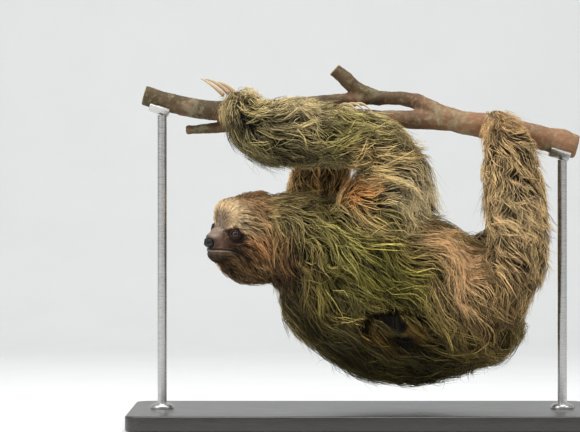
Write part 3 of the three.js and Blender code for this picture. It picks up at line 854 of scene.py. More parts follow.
@dataclass
class HeadAxes:
    """The head's middle and its forward, left and up directions, worked out from eyes and nose.

    The three offsets are millimetres in those axes, as the solids have them.
    """

    eye_forward: float = 31.5
    eye_up: float = 4.7
    nose: Triple = (52.6, 0.0, -7.2)

    def solve(self) -> "HeadAxes":
        """Finds the axes and keeps them."""
        left_eye, right_eye = (np.array(place_in(name)) for name in ("eye_left", "eye_right"))
        left = unit(left_eye - right_eye)
        between = (left_eye + right_eye) / 2
        reach = np.array(place_in("nose")) - between
        reach -= left * (reach @ left)
        tilt = math.atan2(self.nose[2] - self.eye_up, self.nose[0] - self.eye_forward)
        along = unit(reach)
        across = np.cross(along, left)
        forward = along * math.cos(tilt) - across * math.sin(tilt)
        up = np.cross(forward, left)
        self.turn = np.stack([forward, left, up])
        self.middle = between - (forward * self.eye_forward + up * self.eye_up) * MM
        self.eyes = {1: left_eye, -1: right_eye}
        return self

    def local(self, points: Array) -> Array:
        """Returns points in the head's axes, in millimetres."""
        return (points - self.middle) @ self.turn.T / MM

    def world(self, places: Array) -> Array:
        """Returns places of the head's axes in metres of the frame."""
        return np.asarray(places) * MM @ self.turn + self.middle


# Hair of the head's left side in the head's axes: the place in millimetres, then the lie. The
# right side mirrors it.
HEAD_COMBS = [
    ((54, 4, -2), (-1.0, 0.1, 0.5)), ((42, 4, 3), (-0.8, 0.2, 0.7)),
    ((35, 5, 12), (-0.5, 0.3, 0.85)), ((30, 12, 26), (-0.7, 0.35, 0.6)),
    ((31, 18, 14), (-0.85, 0.6, 0.1)), ((12, 12, 42), (-1.0, 0.4, -0.25)),
    ((-15, 15, 44), (-0.9, 0.3, -0.4)), ((15, 30, 28), (-0.8, 0.3, -0.65)),
    ((24, 29, 8), (-0.85, 0.3, -0.55)), ((20, 33, -2), (-0.85, 0.2, -0.75)),
    ((8, 38, -12), (-0.75, 0.0, -0.9)), ((30, 17, -8), (-1.0, 0.3, -0.4)),
    ((16, 25, -26), (-0.6, 0.2, -0.9)), ((-10, 42, 8), (-0.6, 0.0, -0.9)),
    ((-20, 44, -10), (-0.5, 0.0, -1.0)), ((-10, 40, -30), (-0.3, 0.0, -1.0)),
    ((42, 8, -24), (-0.6, 0.2, -0.6)), ((25, 12, -36), (-0.9, 0.3, -0.4)),
    ((0, 15, -48), (-1.0, 0.2, -0.2)), ((50, 9, -9), (-1.0, 0.2, 0.0)),
    ((-28, 40, 25), (-0.65, 0.0, -0.75)),
]


@dataclass
class Face:
    """The sculpted forms of the face, in the head's axes and millimetres.

    The rim and crease of the lids are given by place and width, as shares of the opening, and
    height. The lips are given by place, width and height from the mouth's line.
    """

    axes: HeadAxes
    ball: float = 5.6
    hidden: float = 2.4
    gaze: Triple = (0.66, 0.74, 0.08)
    opening: tuple[float, float] = (4.7, 3.75)
    rim: Triple = (1.16, 0.14, 0.35)
    crease: Triple = (1.62, 0.16, 0.75)
    crease_below: float = 0.4
    tilt: float = -12.0
    lid: float = 0.85
    mouth_front: tuple[float, float] = (53.5, -14.2)
    mouth_corner: tuple[float, float] = (29.0, -13.4)
    mouth_depth: float = 1.5
    mouth_width: float = 0.75
    mouth_bow: float = 1.1
    mouth_reach: float = 24.0
    lips: Sequence[Triple] = ((-2.0, 1.2, 0.8), (2.0, 1.3, 0.7))
    muzzle: Triple = (50.0, 0.0, -6.0)
    forehead: Triple = (38.0, 0.0, 22.0)
    swells: Sequence[tuple[Triple, float, float]] = (
        ((36.0, 0.0, 24.0), 16.0, 1.5),
        ((31.0, 19.0, 30.0), 15.0, 5.5),
        ((31.0, -19.0, 30.0), 15.0, 5.5),
        ((44.0, 0.0, -25.0), 13.0, 3.6),
    )

    def eye_place(self, side: int, local: Array) -> tuple[Array, Array]:
        """Returns points in one eye's own axes, and the matrix of those axes.

        Args:
            side: 1 for the left eye, -1 for the right.
            local: points in the head's axes.
        """
        out = unit(np.array(self.gaze) * (1, side, 1))
        back = unit(np.cross((0, 0, 1), out)) * side
        high = np.cross(out, back) * side
        turn = math.radians(self.tilt)
        axes = np.stack([back * math.cos(turn) + high * math.sin(turn),
                         high * math.cos(turn) - back * math.sin(turn), out])
        return (local - self.eye_centre(side)) @ axes.T, axes

    def eye_centre(self, side: int) -> Array:
        """Returns the middle of one eyeball in the head's axes."""
        return self.axes.local(self.axes.eyes[side][None])[0]

    def opening_share(self, seen: Array) -> Array:
        """Returns 1 on the edge of the lids' almond, less inside and more outside."""
        wide, high = self.opening
        droop = seen[:, 1] + 0.035 * seen[:, 0] ** 2 * np.sign(seen[:, 1]) * 0.6
        return np.sqrt((seen[:, 0] / wide) ** 2 + (droop / high) ** 2)

    def eye_reach(self, local: Array) -> Array:
        """Returns the smaller opening share of the two eyes, and a large one away from them."""
        best = np.full(len(local), FAR)
        for side in (1, -1):
            seen, _ = self.eye_place(side, local)
            share = self.opening_share(seen)
            share[seen[:, 2] < -1.5] = FAR
            best = np.minimum(best, share)
        return best

    def set_lids(self, local: Array) -> Array:
        """Returns the head's points with sockets and lids drawn round both eyeballs."""
        local = local.copy()
        for side in (1, -1):
            seen, axes = self.eye_place(side, local)
            share = self.opening_share(seen)
            radius = np.linalg.norm(seen[:, :2], axis=1)
            near = (share < 3.2) & (seen[:, 2] > -3)
            cap = np.sqrt(np.maximum(self.ball**2 - radius**2, 0.0))
            shell = np.sqrt(np.maximum((self.ball + self.lid) ** 2 - radius**2, 0.0))
            place, width, height = self.rim
            rim = bell(share - place, width) * height
            place, width, height = self.crease
            crease = bell(share - place, width)
            crease *= np.where(seen[:, 1] > 0, height, self.crease_below)
            inside = 1 - smooth_step(0.93, 1.04, share)
            lidded = 1 - smooth_step(1.35, 2.5, share)
            high = blended(seen[:, 2], shell + rim - crease, lidded)
            high = blended(high, cap - self.hidden, inside)
            seen[near, 2] = high[near]
            local[near] = (seen @ axes + self.eye_centre(side))[near]
        return local

    def mouth_share(self, local: Array) -> tuple[Array, Array]:
        """Returns how far each point is above the mouth's line and how fully the line is there."""
        front, corner = np.array(self.mouth_front), np.array(self.mouth_corner)
        along = (front[0] - local[:, 0]) / (front[0] - corner[0])
        line = front[1] + (corner[1] - front[1]) * np.clip(along, 0, 1.2)
        line += self.mouth_bow * np.sin(np.clip(along, 0, 1) * math.pi)
        there = smooth_step(1.12, 0.9, along) * smooth_step(-0.35, -0.1, along)
        there *= (np.abs(local[:, 1]) < self.mouth_reach) & (local[:, 0] > 20)
        return local[:, 2] - line, there

    def cut_mouth(self, local: Array) -> Array:
        """Returns the head's points with the closed mouth's line and lower lip."""
        above, there = self.mouth_share(local)
        out = unit(local * (0.35, 1.0, 0.15) + (6, 0, 0))
        groove = -self.mouth_depth * bell(above, self.mouth_width)
        lip = sum(height * bell(above - place, width) for place, width, height in self.lips)
        return local + out * ((groove + lip) * there)[:, None]

    def fill_muzzle(self, local: Array) -> Array:
        """Returns the head's points with the short steep muzzle filled out to the nose pad."""
        ahead, aside, high = local.T
        stations, stop, square = (36.5, 44, 50, 54.5), 48.5, 2.4
        top = np.interp(ahead, stations, (11.0, 8.5, 2.5, -3.4))
        floor = np.interp(ahead, stations, (-15.5, -15.0, -14.4, -13.6))
        wide = np.interp(ahead, stations, (14.5, 11.6, 9.4, 7.0))
        middle, half = (top + floor) / 2, (top - floor) / 2
        front = np.maximum(ahead - stop, 0) / 7.0
        level = (np.abs(aside) / wide) ** square + (np.abs(high - middle) / half) ** square
        level = np.maximum(level + front**square, 0.02) ** (1 / square)
        share = smooth_step(34.5, 41.5, ahead) * smooth_step(-22, -16, high)
        grow = 1 + (np.clip(1 / level, 1, 1.9) - 1) * share
        core = np.stack([np.minimum(ahead, stop), np.zeros_like(ahead), middle], 1)
        return core + (local - core) * grow[:, None]

    def swell(self, local: Array) -> Array:
        """Returns the head's points with its soft swellings raised."""
        for place, reach, push in self.swells:
            rise = push * bell(distance(local, place), reach)
            local = local + unit(local) * rise[:, None]
        return local

    def shortness(self, local: Array) -> Array:
        """Returns 1 where the hair is as short as on the muzzle and 0 where it is long."""
        return smooth_step(38, 17, distance(local, self.muzzle))

    def brow(self, local: Array) -> Array:
        """Returns 1 on the forehead, where the hair is fine and close, and 0 away from it."""
        return smooth_step(37, 18, distance(local, self.forehead))

    def shape(self, points: Array) -> Array:
        """Returns the skin's points with the face's forms drawn in."""
        local = self.axes.local(points)
        near = (local[:, 0] > 5) & (np.abs(local[:, 1]) < 60) & (np.abs(local[:, 2]) < 60)
        face = local[near]
        face = self.set_lids(self.cut_mouth(self.fill_muzzle(self.swell(face))))
        local[near] = face
        return self.axes.world(local)

    def bareness(self, local: Array) -> Array:
        """Returns 1 where the muzzle is bare and 0 where hair starts."""
        along = smooth_step(35, 46, local[:, 0] - 0.25 * np.abs(local[:, 1]))
        chin = smooth_step(-21, -16, local[:, 2])
        return along * chin

    def paint(self, points: Array, colours: Array, share: Array) -> Array:
        """Returns the colours with the face's markings laid over them.

        Args:
            points: places in metres.
            colours: the colours there so far.
            share: how far each place belongs to the head.
        """
        local = self.axes.local(points)
        wander = ripple(points, 7, 31) * 1.6
        ahead, aside, high = local[:, 0], np.abs(local[:, 1]), local[:, 2]
        left_eye, right_eye = (self.eye_place(side, local)[0] for side in (1, -1))
        back, above, _ = np.where((local[:, 1] < 0)[:, None], right_eye, left_eye).T
        step = smooth_step
        layers = [
            # the crown's tan, the pale brow, the rusty cheek and the dark throat
            (step(16, 34, high + wander) * 0.85, (0.8, 0.47, 0.22)),
            (step(14, 24, ahead + wander) * step(3, 12, high + wander), (0.95, 0.7, 0.4)),
            (step(22, 34, aside) * step(8, -6, high + wander), (0.46, 0.225, 0.085)),
            (step(-10, -24, high + wander) * step(18, 28, aside), (0.27, 0.135, 0.048)),
            (step(-16, -28, high + wander + 0.1 * ahead), (0.062, 0.034, 0.011)),
            (step(14, -12, ahead + wander) * step(62, 40, high) * 0.7, (0.25, 0.165, 0.078)),
            # the muzzle: pale above, brown at the sides, dark under the chin
            (step(14, 22, ahead + wander) * step(5, 0, high + wander) * step(-20, -14, high)
             * step(31, 25, aside), (0.1, 0.052, 0.027)),
            (step(31, 42, ahead - 0.2 * aside + wander) * step(-20, -16, high),
             (0.112, 0.056, 0.034)),
            (step(33, 43, ahead) * step(12, 6, aside) * step(-5, 2, high),
             (0.29, 0.215, 0.155)),
            (step(30, 36, ahead) * step(-16, -19, high), (0.06, 0.037, 0.016)),
            (step(46, 52, ahead + 0.3 * wander) * step(1, -4, high) * 0.75, (0.035, 0.025, 0.02)),
            # the right temple's dark hair, deepened by painted shade on that side alone, and the mask: a
            # lozenge round each eye with a stripe running back and down from it
            (step(-22, -26, local[:, 1]) * step(6, 14, ahead) * step(6, 11, high)
             * step(40, 33, high), (0.045, 0.02, 0.012)),
            (step(12.5, 9.5, np.abs(back + 0.8) * 0.85 + np.abs(above) * 1.15 + wander * 0.5),
             (0.036, 0.014, 0.008)),
            (step(5.2, 3.0, np.abs(above + 0.42 * back + 0.5) + wander * 0.5)
             * step(1, 4, back) * step(30, 18, back), (0.030, 0.013, 0.007)),
        ]
        for amount, colour in layers:
            amount = (np.clip(amount, 0, 1) * share)[:, None]
            colours = blended(colours, np.array(colour), amount)
        gap, there = self.mouth_share(local)
        there = there * share * smooth_step(24, 20, aside)
        # painted shade in the mouth's line, and a painted highlight along the lower lip under it
        line = (bell(gap, 0.6) * there)[:, None]
        lip = (bell(gap + 1.7, 0.8) * there * 0.6)[:, None]
        colours = blended(colours, np.array((0.36, 0.28, 0.22)), lip)
        return blended(colours, np.array((0.008, 0.005, 0.003)), line)


# ---------- skin and coat ----------


@dataclass
class Skin:
    """The one skin under the coat, which lies inside the flesh by the depth of the coat.

    Lengths are in millimetres.
    """

    frame: dict[str, Any]
    face: Face
    voxel: float = 3.2
    seal: float = 1.2
    steps: int = 6
    search: float = 12.0
    bare_depth: float = 1.3
    head_reach: float = 72.0

    def build(self) -> Piece:
        """Returns the finished skin."""
        flesh = merged(self.frame, FLESH)
        for vertex in flesh.verts:
            vertex.co += vertex.normal * self.seal * MM
        mesh = remeshed("skin", flesh, self.voxel)
        net = Net(mesh)
        net.points = net.smoothed(net.points, 8)
        labels = self.label(net.points)
        depth = self.depths(net, labels)
        for _ in range(self.steps):
            net.points = net.points - net.normals() * (depth / self.steps)[:, None]
            net.points = net.smoothed(net.points, 1, 0.3)
        net.store(mesh)
        mesh = self.refine(mesh)
        net = Net(mesh)
        net.points = self.face.shape(net.points)
        net.store(mesh)
        mesh.shade_smooth()
        self.net, self.mesh = net, mesh
        return new_object("skin", mesh)

    def label(self, points: Array) -> Array:
        """Returns the number of the flesh node nearest to each point."""
        best = np.full(len(points), FAR)
        labels = np.zeros(len(points), np.int64)
        for number, node in enumerate(FLESH):
            data = self.frame["nodes"][node].data
            low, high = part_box(node)
            outside = np.maximum(np.maximum(np.array(low) - points, points - np.array(high)), 0)
            reach = np.minimum(best, self.search * MM)
            close = np.nonzero(np.linalg.norm(outside, axis=1) < reach)[0]
            corners = [vertex.co[:] for vertex in data.vertices]
            tree = BVHTree.FromPolygons(corners, [face.vertices[:] for face in data.polygons])
            find = tree.find_nearest
            apart = np.fromiter((find(points[index])[3] for index in close), float, len(close))
            closer = apart < best[close]
            best[close[closer]] = apart[closer]
            labels[close[closer]] = number
        return labels

    def depths(self, net: Net, labels: Array) -> Array:
        """Returns the coat's depth at each point in metres, even across the joints."""
        table = np.array([GROWTH[node].depth for node in FLESH])
        depth = net.smoothed(table[labels] * MM, 12)
        local = self.face.axes.local(net.points)
        head = np.array([node == "head" for node in FLESH])[labels]
        eye = bell(np.maximum(self.face.eye_reach(local) - 1, 0), 1.6)
        shallow = np.clip(self.face.shortness(local) + eye, 0, 1) * head
        depth = depth * (1 - 0.7 * self.face.brow(local) * head)
        depth = blended(depth, self.bare_depth * MM, shallow)
        for trim in TRIMS:
            depth = depth * (1 - trim.share(net.points, 0.4) * 0.25 * trim.clearing)
        return net.smoothed(depth, 4)

    def ahead_of(self, line: float, local: Array) -> Array:
        """Returns which places of the head's axes lie on the head and ahead of a line across it."""
        return (local[:, 0] > line) & (np.linalg.norm(local, axis=1) < self.head_reach)

    def refine(self, mesh: bpy.types.Mesh) -> bpy.types.Mesh:
        """Returns the mesh with a finer net over the head, finer still round eyes and mouth."""
        shape = bmesh.new()
        shape.from_mesh(mesh)
        for level in range(3):
            local = self.face.axes.local(places_of(shape.verts))
            gap, there = self.face.mouth_share(local)
            eyes = self.face.eye_reach(local)
            head = self.ahead_of(-12, local)
            front = self.ahead_of(14, local)
            detail = (eyes < 2.4) | ((np.abs(gap) < 3.2) & (there > 0.05) & head)
            chosen = (head, front, detail)[level]
            edges = [edge for edge in shape.edges
                     if chosen[edge.verts[0].index] and chosen[edge.verts[1].index]]
            bmesh.ops.subdivide_edges(shape, edges=edges, cuts=1, use_grid_fill=True)
            shape.verts.index_update()
            shape.verts.ensure_lookup_table()
            if level < 2:
                near = self.ahead_of(-14, self.face.axes.local(places_of(shape.verts)))
                soften(shape, [vertex for vertex in shape.verts if near[vertex.index]], 3)
        bmesh.ops.triangulate(shape, faces=[face for face in shape.faces if len(face.verts) > 4])
        shape.to_mesh(mesh)
        shape.free()
        return mesh


@dataclass
class Pelt:
    """What the coat is at each point of the skin: its lie, length, depth, closeness and colour.

    The hair on brow and muzzle is given by length, width and spacing. Lengths are in millimetres.
    Swirls turn the hair, each by radians, with a size and a seed.
    """

    skin: Skin
    knit: float = 10.0
    slimmer: float = 0.9
    closer: float = 0.95
    opener: float = 0.28
    brow_hair: Triple = (8.0, 0.7, 1.05)
    muzzle_hair: Triple = (4.2, 0.42, 0.85)
    muzzle_depth: float = 1.0
    feel: float = 4.0
    looseness_limits: tuple[float, float] = (0.05, 1.45)
    bar: float = 0.08
    trimmed_width: float = 0.35
    trimmed_spacing: float = 0.25
    hidden_shade: float = 0.84
    swirls: Sequence[Triple] = ((0.42, 26, 5), (0.28, 11, 6))

    def map(self) -> None:
        """Works out every field over the skin and stores the skin's own colours."""
        net, face = self.skin.net, self.skin.face
        self.net = net
        self.normals = net.normals()
        self.labels = self.skin.label(net.points + self.normals * self.feel * MM)
        self.local = face.axes.local(net.points)
        self.head = net.smoothed(self.flag("head"), 6)
        self.lie = self.combed()
        self.length = self.even("length") * MM
        self.width = self.even("width") * MM * self.slimmer
        opener = 1 + self.opener * smooth_step(0.2, 0.8, self.normals[:, 1])
        self.spacing = self.even("spacing") * MM * self.closer * opener
        self.depth = self.even("depth") * MM
        self.looseness = self.even("loose") * (1 + 0.6 * ripple(net.points, 22, 3))
        for fray in FRAYS:
            self.looseness += fray.more * fray.share(net.points, 0.4)
        self.looseness = np.clip(self.looseness, *self.looseness_limits)
        self.colour = self.painted()
        self.trim_coat()
        self.trim_face()
        self.store()

    def flag(self, node: str) -> Array:
        """Returns 1 at the node's own points and 0 elsewhere."""
        return (self.labels == FLESH.index(node)).astype(float)

    def even(self, key: str) -> Array:
        """Returns one of the growth sizes at each point, smooth across joints."""
        table = np.array([getattr(GROWTH[node], key) for node in FLESH], float)
        return self.net.smoothed(table[self.labels], 10)

    def combed(self) -> Array:
        """Returns the direction of the hair along the skin at each point."""
        points = self.net.points
        wanted = np.zeros_like(points)
        wanted[:, 2] = -1
        for family in Family:
            if family is Family.HEAD:
                continue
            mine = np.isin(self.labels, [FLESH.index(node) for node in family.value])
            combs = [comb for comb in COMBS if comb.node in family.value]
            places = np.array([place_in(comb.node, comb.at) for comb in combs])
            lies = unit(np.array([comb.lie for comb in combs], float))
            wanted[mine] = self.blend(points[mine], places, lies)
        mine = self.labels == FLESH.index("head")
        axes = self.skin.face.axes
        sides = np.array([(1, side, 1) for _ in HEAD_COMBS for side in (1, -1)])
        places, lies = (np.repeat(rows, 2, 0) * sides for rows in zip(*HEAD_COMBS))
        wanted[mine] = self.blend(points[mine], axes.world(places), unit(lies) @ axes.turn)
        lie = self.flat(wanted)
        for _ in range(5):
            lie = self.flat(self.net.smoothed(lie, 2))
        lie = unit(lie)
        swing = sum(turn * ripple(points, size, seed) for turn, size, seed in self.swirls)
        swing *= (1 - 0.55 * self.head) * (0.75 + 0.55 * self.even("loose"))
        return self.turned(lie, self.normals, swing)

    def blend(self, points: Array, places: Array, lies: Array) -> Array:
        """Returns the combs' directions mixed by nearness."""
        apart = ((points[:, None] - places[None]) ** 2).sum(2)
        weight = 1 / (apart + (self.knit * MM) ** 2) ** 2
        return unit((weight[:, :, None] * lies[None]).sum(1))

    def flat(self, vectors: Array) -> Array:
        """Returns the vectors laid in the skin."""
        return vectors - self.normals * (vectors * self.normals).sum(1, keepdims=True)

    @staticmethod
    def turned(vectors: Array, about: Array, angle: Array) -> Array:
        """Returns tangent vectors turned about the normals."""
        return vectors * np.cos(angle)[:, None] + np.cross(about, vectors) * np.sin(angle)[:, None]

    def painted(self) -> Array:
        """Returns the coat's colour at each point."""
        points = self.net.points
        table = np.array([GROWTH[node].colour for node in FLESH])
        colours = self.net.smoothed(table[self.labels], 14)
        wander = ripple(points, 14, 11) * 5 + ripple(points, 5, 12) * 2.5
        for mark in MARKINGS:
            amount = mark.share(points, 0.35, wander * min(1, mark.reach / 25)) * mark.strength
            colours = blended(colours, np.array(mark.colour), amount[:, None])
        drift = 1 + 0.14 * ripple(points, 18, 13)
        colours = colours * drift[:, None]
        return self.skin.face.paint(points, colours, self.head)

    def trim_coat(self) -> None:
        """Changes the coat in the trimmed places, such as the short-haired hollow of the back."""
        self.barred = np.zeros(len(self.net.points), bool)
        for trim in TRIMS:
            inside = trim.share(self.net.points, 0.55)
            if trim.clearing:
                self.barred |= inside > self.bar
            self.length *= 1 - inside * (1 - trim.length)
            self.depth *= 1 - inside * (1 - trim.depth)
            self.width *= 1 - inside * self.trimmed_width
            self.spacing *= 1 - inside * self.trimmed_spacing

    def trim_face(self) -> None:
        """Makes the hair short and close towards the muzzle and clears the bare skin."""
        face = self.skin.face
        brow = face.brow(self.local) * self.head
        self.draw_to(self.brow_hair, brow)
        self.depth *= 1 - 0.85 * brow
        front = face.shortness(self.local) * self.head
        mask = bell(np.maximum(face.eye_reach(self.local) - 1.2, 0), 1.3) * self.head
        short = np.maximum(front, mask)
        self.draw_to(self.muzzle_hair, short)
        self.depth = blended(self.depth, self.muzzle_depth * MM, short)
        self.bare = face.bareness(self.local) * self.head
        gap, there = face.mouth_share(self.local)
        open_eye = face.eye_reach(self.local) < 1.32
        lips = (np.abs(gap) < 1.4) & (there > 0.3) & (self.head > 0.5)
        self.growing = 1 - np.clip(self.bare * 1.15, 0, 1)
        self.growing[open_eye & (self.head > 0.5)] = 0
        self.growing[lips] = 0

    def draw_to(self, hair: Triple, share: Array) -> None:
        """Draws the hair's length, width and spacing to the given sizes."""
        for key, size in zip(("length", "width", "spacing"), hair):
            setattr(self, key, blended(getattr(self, key), size * MM, share))

    def store(self) -> None:
        """Stores the skin's colour, with painted shade where long hair covers it."""
        mesh = self.skin.mesh
        cover = smooth_step(5 * MM, 16 * MM, self.length)[:, None]
        # painted shade on the skin under long hair
        under = self.colour * (1 - self.hidden_shade * cover)
        store_colour(mesh, "coat", under)
        store_value(mesh, "bare", self.bare)


def lock_faces(joints: Any) -> Any:
    """Returns how many triangles a lock of so many joints has."""
    return 6 * (joints - 1) + 4


@dataclass
class Coat:
    """The locks: closed three-sided tapering solids that follow the lie of the coat.

    In millimetres, hair below the short length has locks of two joints, hair of the long length
    waves fully, no lock is below the least length, and roots sink into the skin. Stray is the share
    of locks that stand off where the looseness is 1. The layer shade is the deepest lock's brightness
    and how much brighter the top one is: painted shade low in the coat and painted light on top.
    Taper gives the width along a lock and shade its brightness, with painted shade at the root and
    painted light at the tip. Keel and crest are its section's heights below and above the middle, in
    half widths. The straw highlight brightens a few top locks, a painted highlight.
    """

    pelt: Pelt
    triangle_budget: int = 1_440_000
    piece_limit: int = 185_000
    gather: int = 8
    patch: float = 0.003
    chart_edge: float = 0.004
    chart_size: float = 0.988
    brightest: float = 0.88
    lean: float = 1.5
    short: float = 12.0
    long: float = 40.0
    least: float = 1.5
    sink: float = 0.4
    stray: float = 0.1
    sample: int = 4000
    straw_highlight: Triple = (1.95, 1.9, 1.95)
    layer_shade: tuple[float, float] = (0.06, 1.5)
    taper: Sequence[Sequence[float]] = ((0, 0.25, 0.6, 1), (0.7, 1.0, 0.82, 0.15))
    shade: Sequence[Sequence[float]] = ((0, 0.3, 0.7, 1), (0.2, 0.8, 1.16, 1.4))
    keel: float = 0.35
    crest: float = 0.75
    chance: np.random.Generator = field(default_factory=lambda: np.random.default_rng(SEED))

    def grow(self, material: bpy.types.Material) -> list[Piece]:
        """Returns the coat's pieces, one or more for each family of nodes."""
        self.tree = tree_of(self.pelt.net.points)
        families = self.rooted()
        pieces = []
        for family, roots in families.items():
            pieces += self.clothe(family, roots, material)
        return pieces

    def rooted(self) -> dict[Family, Table]:
        """Returns the locks' roots by family, spread over the skin by the wanted closeness."""
        net, pelt = self.pelt.net, self.pelt
        share = pelt.growing[net.faces].mean(1) / pelt.spacing[net.faces].mean(1) ** 2
        wanted = net.areas() * share
        joints = np.array([GROWTH[node].joints for node in FLESH])[pelt.labels][net.faces[:, 0]]
        joints = np.where(pelt.length[net.faces[:, 0]] < self.short * MM, 2, joints)
        cost = (wanted * lock_faces(joints)).sum()
        LOG.info("coat would take %d triangles at full closeness", cost)
        wanted *= min(1.0, self.triangle_budget / cost)
        total = np.cumsum(wanted)
        count = int(total[-1])
        marks = np.arange(count) + self.chance.uniform(0, 1, count) * 0.9
        chosen = np.clip(np.searchsorted(total, marks), 0, len(total) - 1)
        one, two = np.sqrt(self.chance.uniform(0, 1, count)), self.chance.uniform(0, 1, count)
        bary = np.stack([1 - one, one * (1 - two), one * two], 1)
        corners = net.faces[chosen]
        spots = (net.points[corners] * bary[:, :, None]).sum(1)
        heaviest = corners[np.arange(count), bary.argmax(1)]
        groups = {}
        for family in Family:
            numbers = [FLESH.index(node) for node in family.value]
            mine = np.isin(pelt.labels[heaviest], numbers)
            groups[family] = {"spot": spots[mine], "near": heaviest[mine],
                              "joints": joints[chosen][mine]}
            LOG.info("%s carries %d locks", family.name.lower(), mine.sum())
        return groups

    def clothe(self, family: Family, roots: Table, material: bpy.types.Material) -> list[Piece]:
        """Returns a family's pieces, each under the limit of triangles."""
        chart = self.charted(roots["spot"])
        costs = lock_faces(roots["joints"])
        bands = max(1, math.ceil(costs.sum() / self.piece_limit))
        order = np.argsort(chart[:, 1], kind="stable")
        running = np.cumsum(costs[order])
        band = np.minimum((running * bands / (running[-1] + 1)).astype(int), bands - 1)
        pieces = []
        for number in range(bands):
            mine = order[band == number]
            name = f"coat_{family.name.lower()}" + (f"_{number + 1}" if bands > 1 else "")
            place = chart[mine].copy()
            place -= place.min(0)
            place /= np.maximum(place.max(0), TINY)
            part = {key: values[mine] for key, values in roots.items()}
            piece = self.piece(name, part, self.chart_edge + place * self.chart_size)
            piece.data.materials.append(material)
            pieces.append(piece)
        return pieces

    def charted(self, spots: Array) -> Array:
        """Returns each root's place on the skin unrolled round its own long axis."""
        centred = spots - spots.mean(0)
        some = centred[:: max(1, len(centred) // self.sample)]
        _, _, axes = np.linalg.svd(some, full_matrices=False)
        along, first, second = (centred @ axis for axis in axes)
        return np.stack([np.arctan2(second, first) / (2 * math.pi) + 0.5, along], 1)

    def traced(self, roots: Table, joints: int, kind: Table) -> tuple[Array, Array]:
        """Returns the locks' middle lines and the outward directions along them.

        Args:
            roots: the places and nearest skin points.
            joints: how many lengths each line has.
            kind: each lock's length, height, lift, droop, start, bend and wave.

        Returns:
            An array of locks by points by six numbers, and the skin point under each lock's middle.
        """
        net, pelt = self.pelt.net, self.pelt
        spots, near = roots["spot"].copy(), roots["near"]
        stride = (kind["length"] / joints)[:, None]
        lines = np.empty((len(spots), joints + 1, 6))
        barred = np.empty((len(spots), joints + 1), bool)
        angle = kind["start"].copy()
        for step in range(joints + 1):
            if step == (joints + 1) // 2:
                shown = near
            outward = pelt.normals[near]
            lines[:, step, :3], lines[:, step, 3:] = spots, outward
            barred[:, step] = pelt.barred[near]
            if step == joints:
                break
            heading = pelt.turned(pelt.lie[near], outward, angle)
            spots = spots + heading * stride
            near = nearest(self.tree, spots)
            outward = pelt.normals[near]
            spots = spots - outward * ((spots - net.points[near]) * outward).sum(1, keepdims=True)
            angle = angle * 0.75 + kind["bend"] + kind["wave"] * math.cos(2.4 * step)
        share = np.linspace(0, 1, joints + 1)
        rise = smooth_step(0, 0.38, share)
        height = kind["height"][:, None] * rise + kind["lift"][:, None] * share**2
        height -= self.sink * MM * (1 - rise)
        lines[:, :, :3] += lines[:, :, 3:] * height[:, :, None]
        lines[:, :, 2] -= kind["droop"][:, None] * share**2
        return self.stopped(lines, barred), shown

    @staticmethod
    def stopped(lines: Array, barred: Array, least: float = 0.12) -> Array:
        """Returns the lines, ended where they come to a trimmed place from outside it."""
        joints = lines.shape[1] - 1
        entering = barred.any(1) & ~barred[:, 0]
        reach = np.where(entering, np.maximum((barred.argmax(1) - 0.4) / joints, least), 1.0)
        place = np.arange(joints + 1)[None] * reach[:, None]
        low = np.minimum(place.astype(int), joints - 1)
        share = (place - low)[:, :, None]
        rows = np.arange(len(lines))[:, None]
        return blended(lines[rows, low], lines[rows, low + 1], share)

    def piece(self, name: str, roots: Table, chart: Array) -> Piece:
        """Returns one piece of coat.

        Args:
            name: the piece's name.
            roots: the locks' roots.
            chart: each root's place on the unrolled skin.
        """
        pelt, chance = self.pelt, self.chance
        near = roots["near"]
        count = len(near)
        leader = self.leaders(roots["spot"])
        layer = chance.uniform(0, 1, count) ** self.lean
        group = chance.normal(size=count)[leader]
        single = chance.normal(size=count)
        loose = pelt.looseness[near]
        long = np.clip(pelt.length[near] / (self.long * MM), 0.1, 1.2)
        stray = (chance.uniform(0, 1, count) < self.stray * loose) * long
        hung = 1 - 0.5 * smooth_step(0.3, 0.9, -pelt.normals[near][:, 2])
        # Lengths are shares of the skin's own hair length and depth, and turns are in radians.
        # The group's draw is the same for a whole gather and the single one for a lock alone.
        kind = {
            "length": pelt.length[near] * (0.72 + 0.38 * layer + 0.12 * single),
            "height": pelt.depth[near] * (0.12 + 1.02 * layer),
            "lift": pelt.depth[near] * (0.35 * np.abs(group) * layer + 0.85 * stray) * loose * hung,
            "droop": pelt.length[near] * 0.06 * stray,
            "start": (0.22 * group + 0.15 * single) * (0.7 + 0.6 * loose)
            + 0.5 * stray * np.sign(single),
            "bend": (0.11 * chance.normal(size=count)[leader] + 0.06 * single) * (0.6 + loose) * long
            + 0.16 * stray * np.sign(group),
            "wave": 0.2 * chance.normal(size=count)[leader] * (0.4 + loose) * long,
        }
        kind["length"] = np.maximum(kind["length"], self.least * MM)
        pull = np.clip(0.74 + 0.18 * chance.normal(size=count), 0.2, 0.96) * (1 - 0.8 * (stray > 0))
        width = pelt.width[near] * (0.75 + 0.4 * chance.uniform(0, 1, count))
        width *= 1 - 0.45 * (stray > 0)
        parts = []
        offset = 0
        for joints in np.unique(roots["joints"]):
            mine = np.nonzero(roots["joints"] == joints)[0]
            spot = {key: roots[key][mine] for key in ("spot", "near")}
            own = {key: value[mine] for key, value in kind.items()}
            lines, shown = self.traced(spot, int(joints), own)
            self.gathered(lines, leader, mine, pull)
            tone = self.toned(near[mine], shown, layer[mine], group[mine], single[mine])
            points, faces, colours, unwrap = self.solids(lines, width[mine], tone, chart[mine])
            parts.append((points, faces + offset, colours, unwrap))
            offset += len(points)
        return self.joined(name, *(np.concatenate(rows) for rows in zip(*parts)))

    def leaders(self, spots: Array) -> Array:
        """Returns for each lock the lock that it gathers to."""
        heads = self.chance.choice(len(spots), max(1, len(spots) // self.gather), replace=False)
        return heads[nearest(tree_of(spots[heads]), spots)]

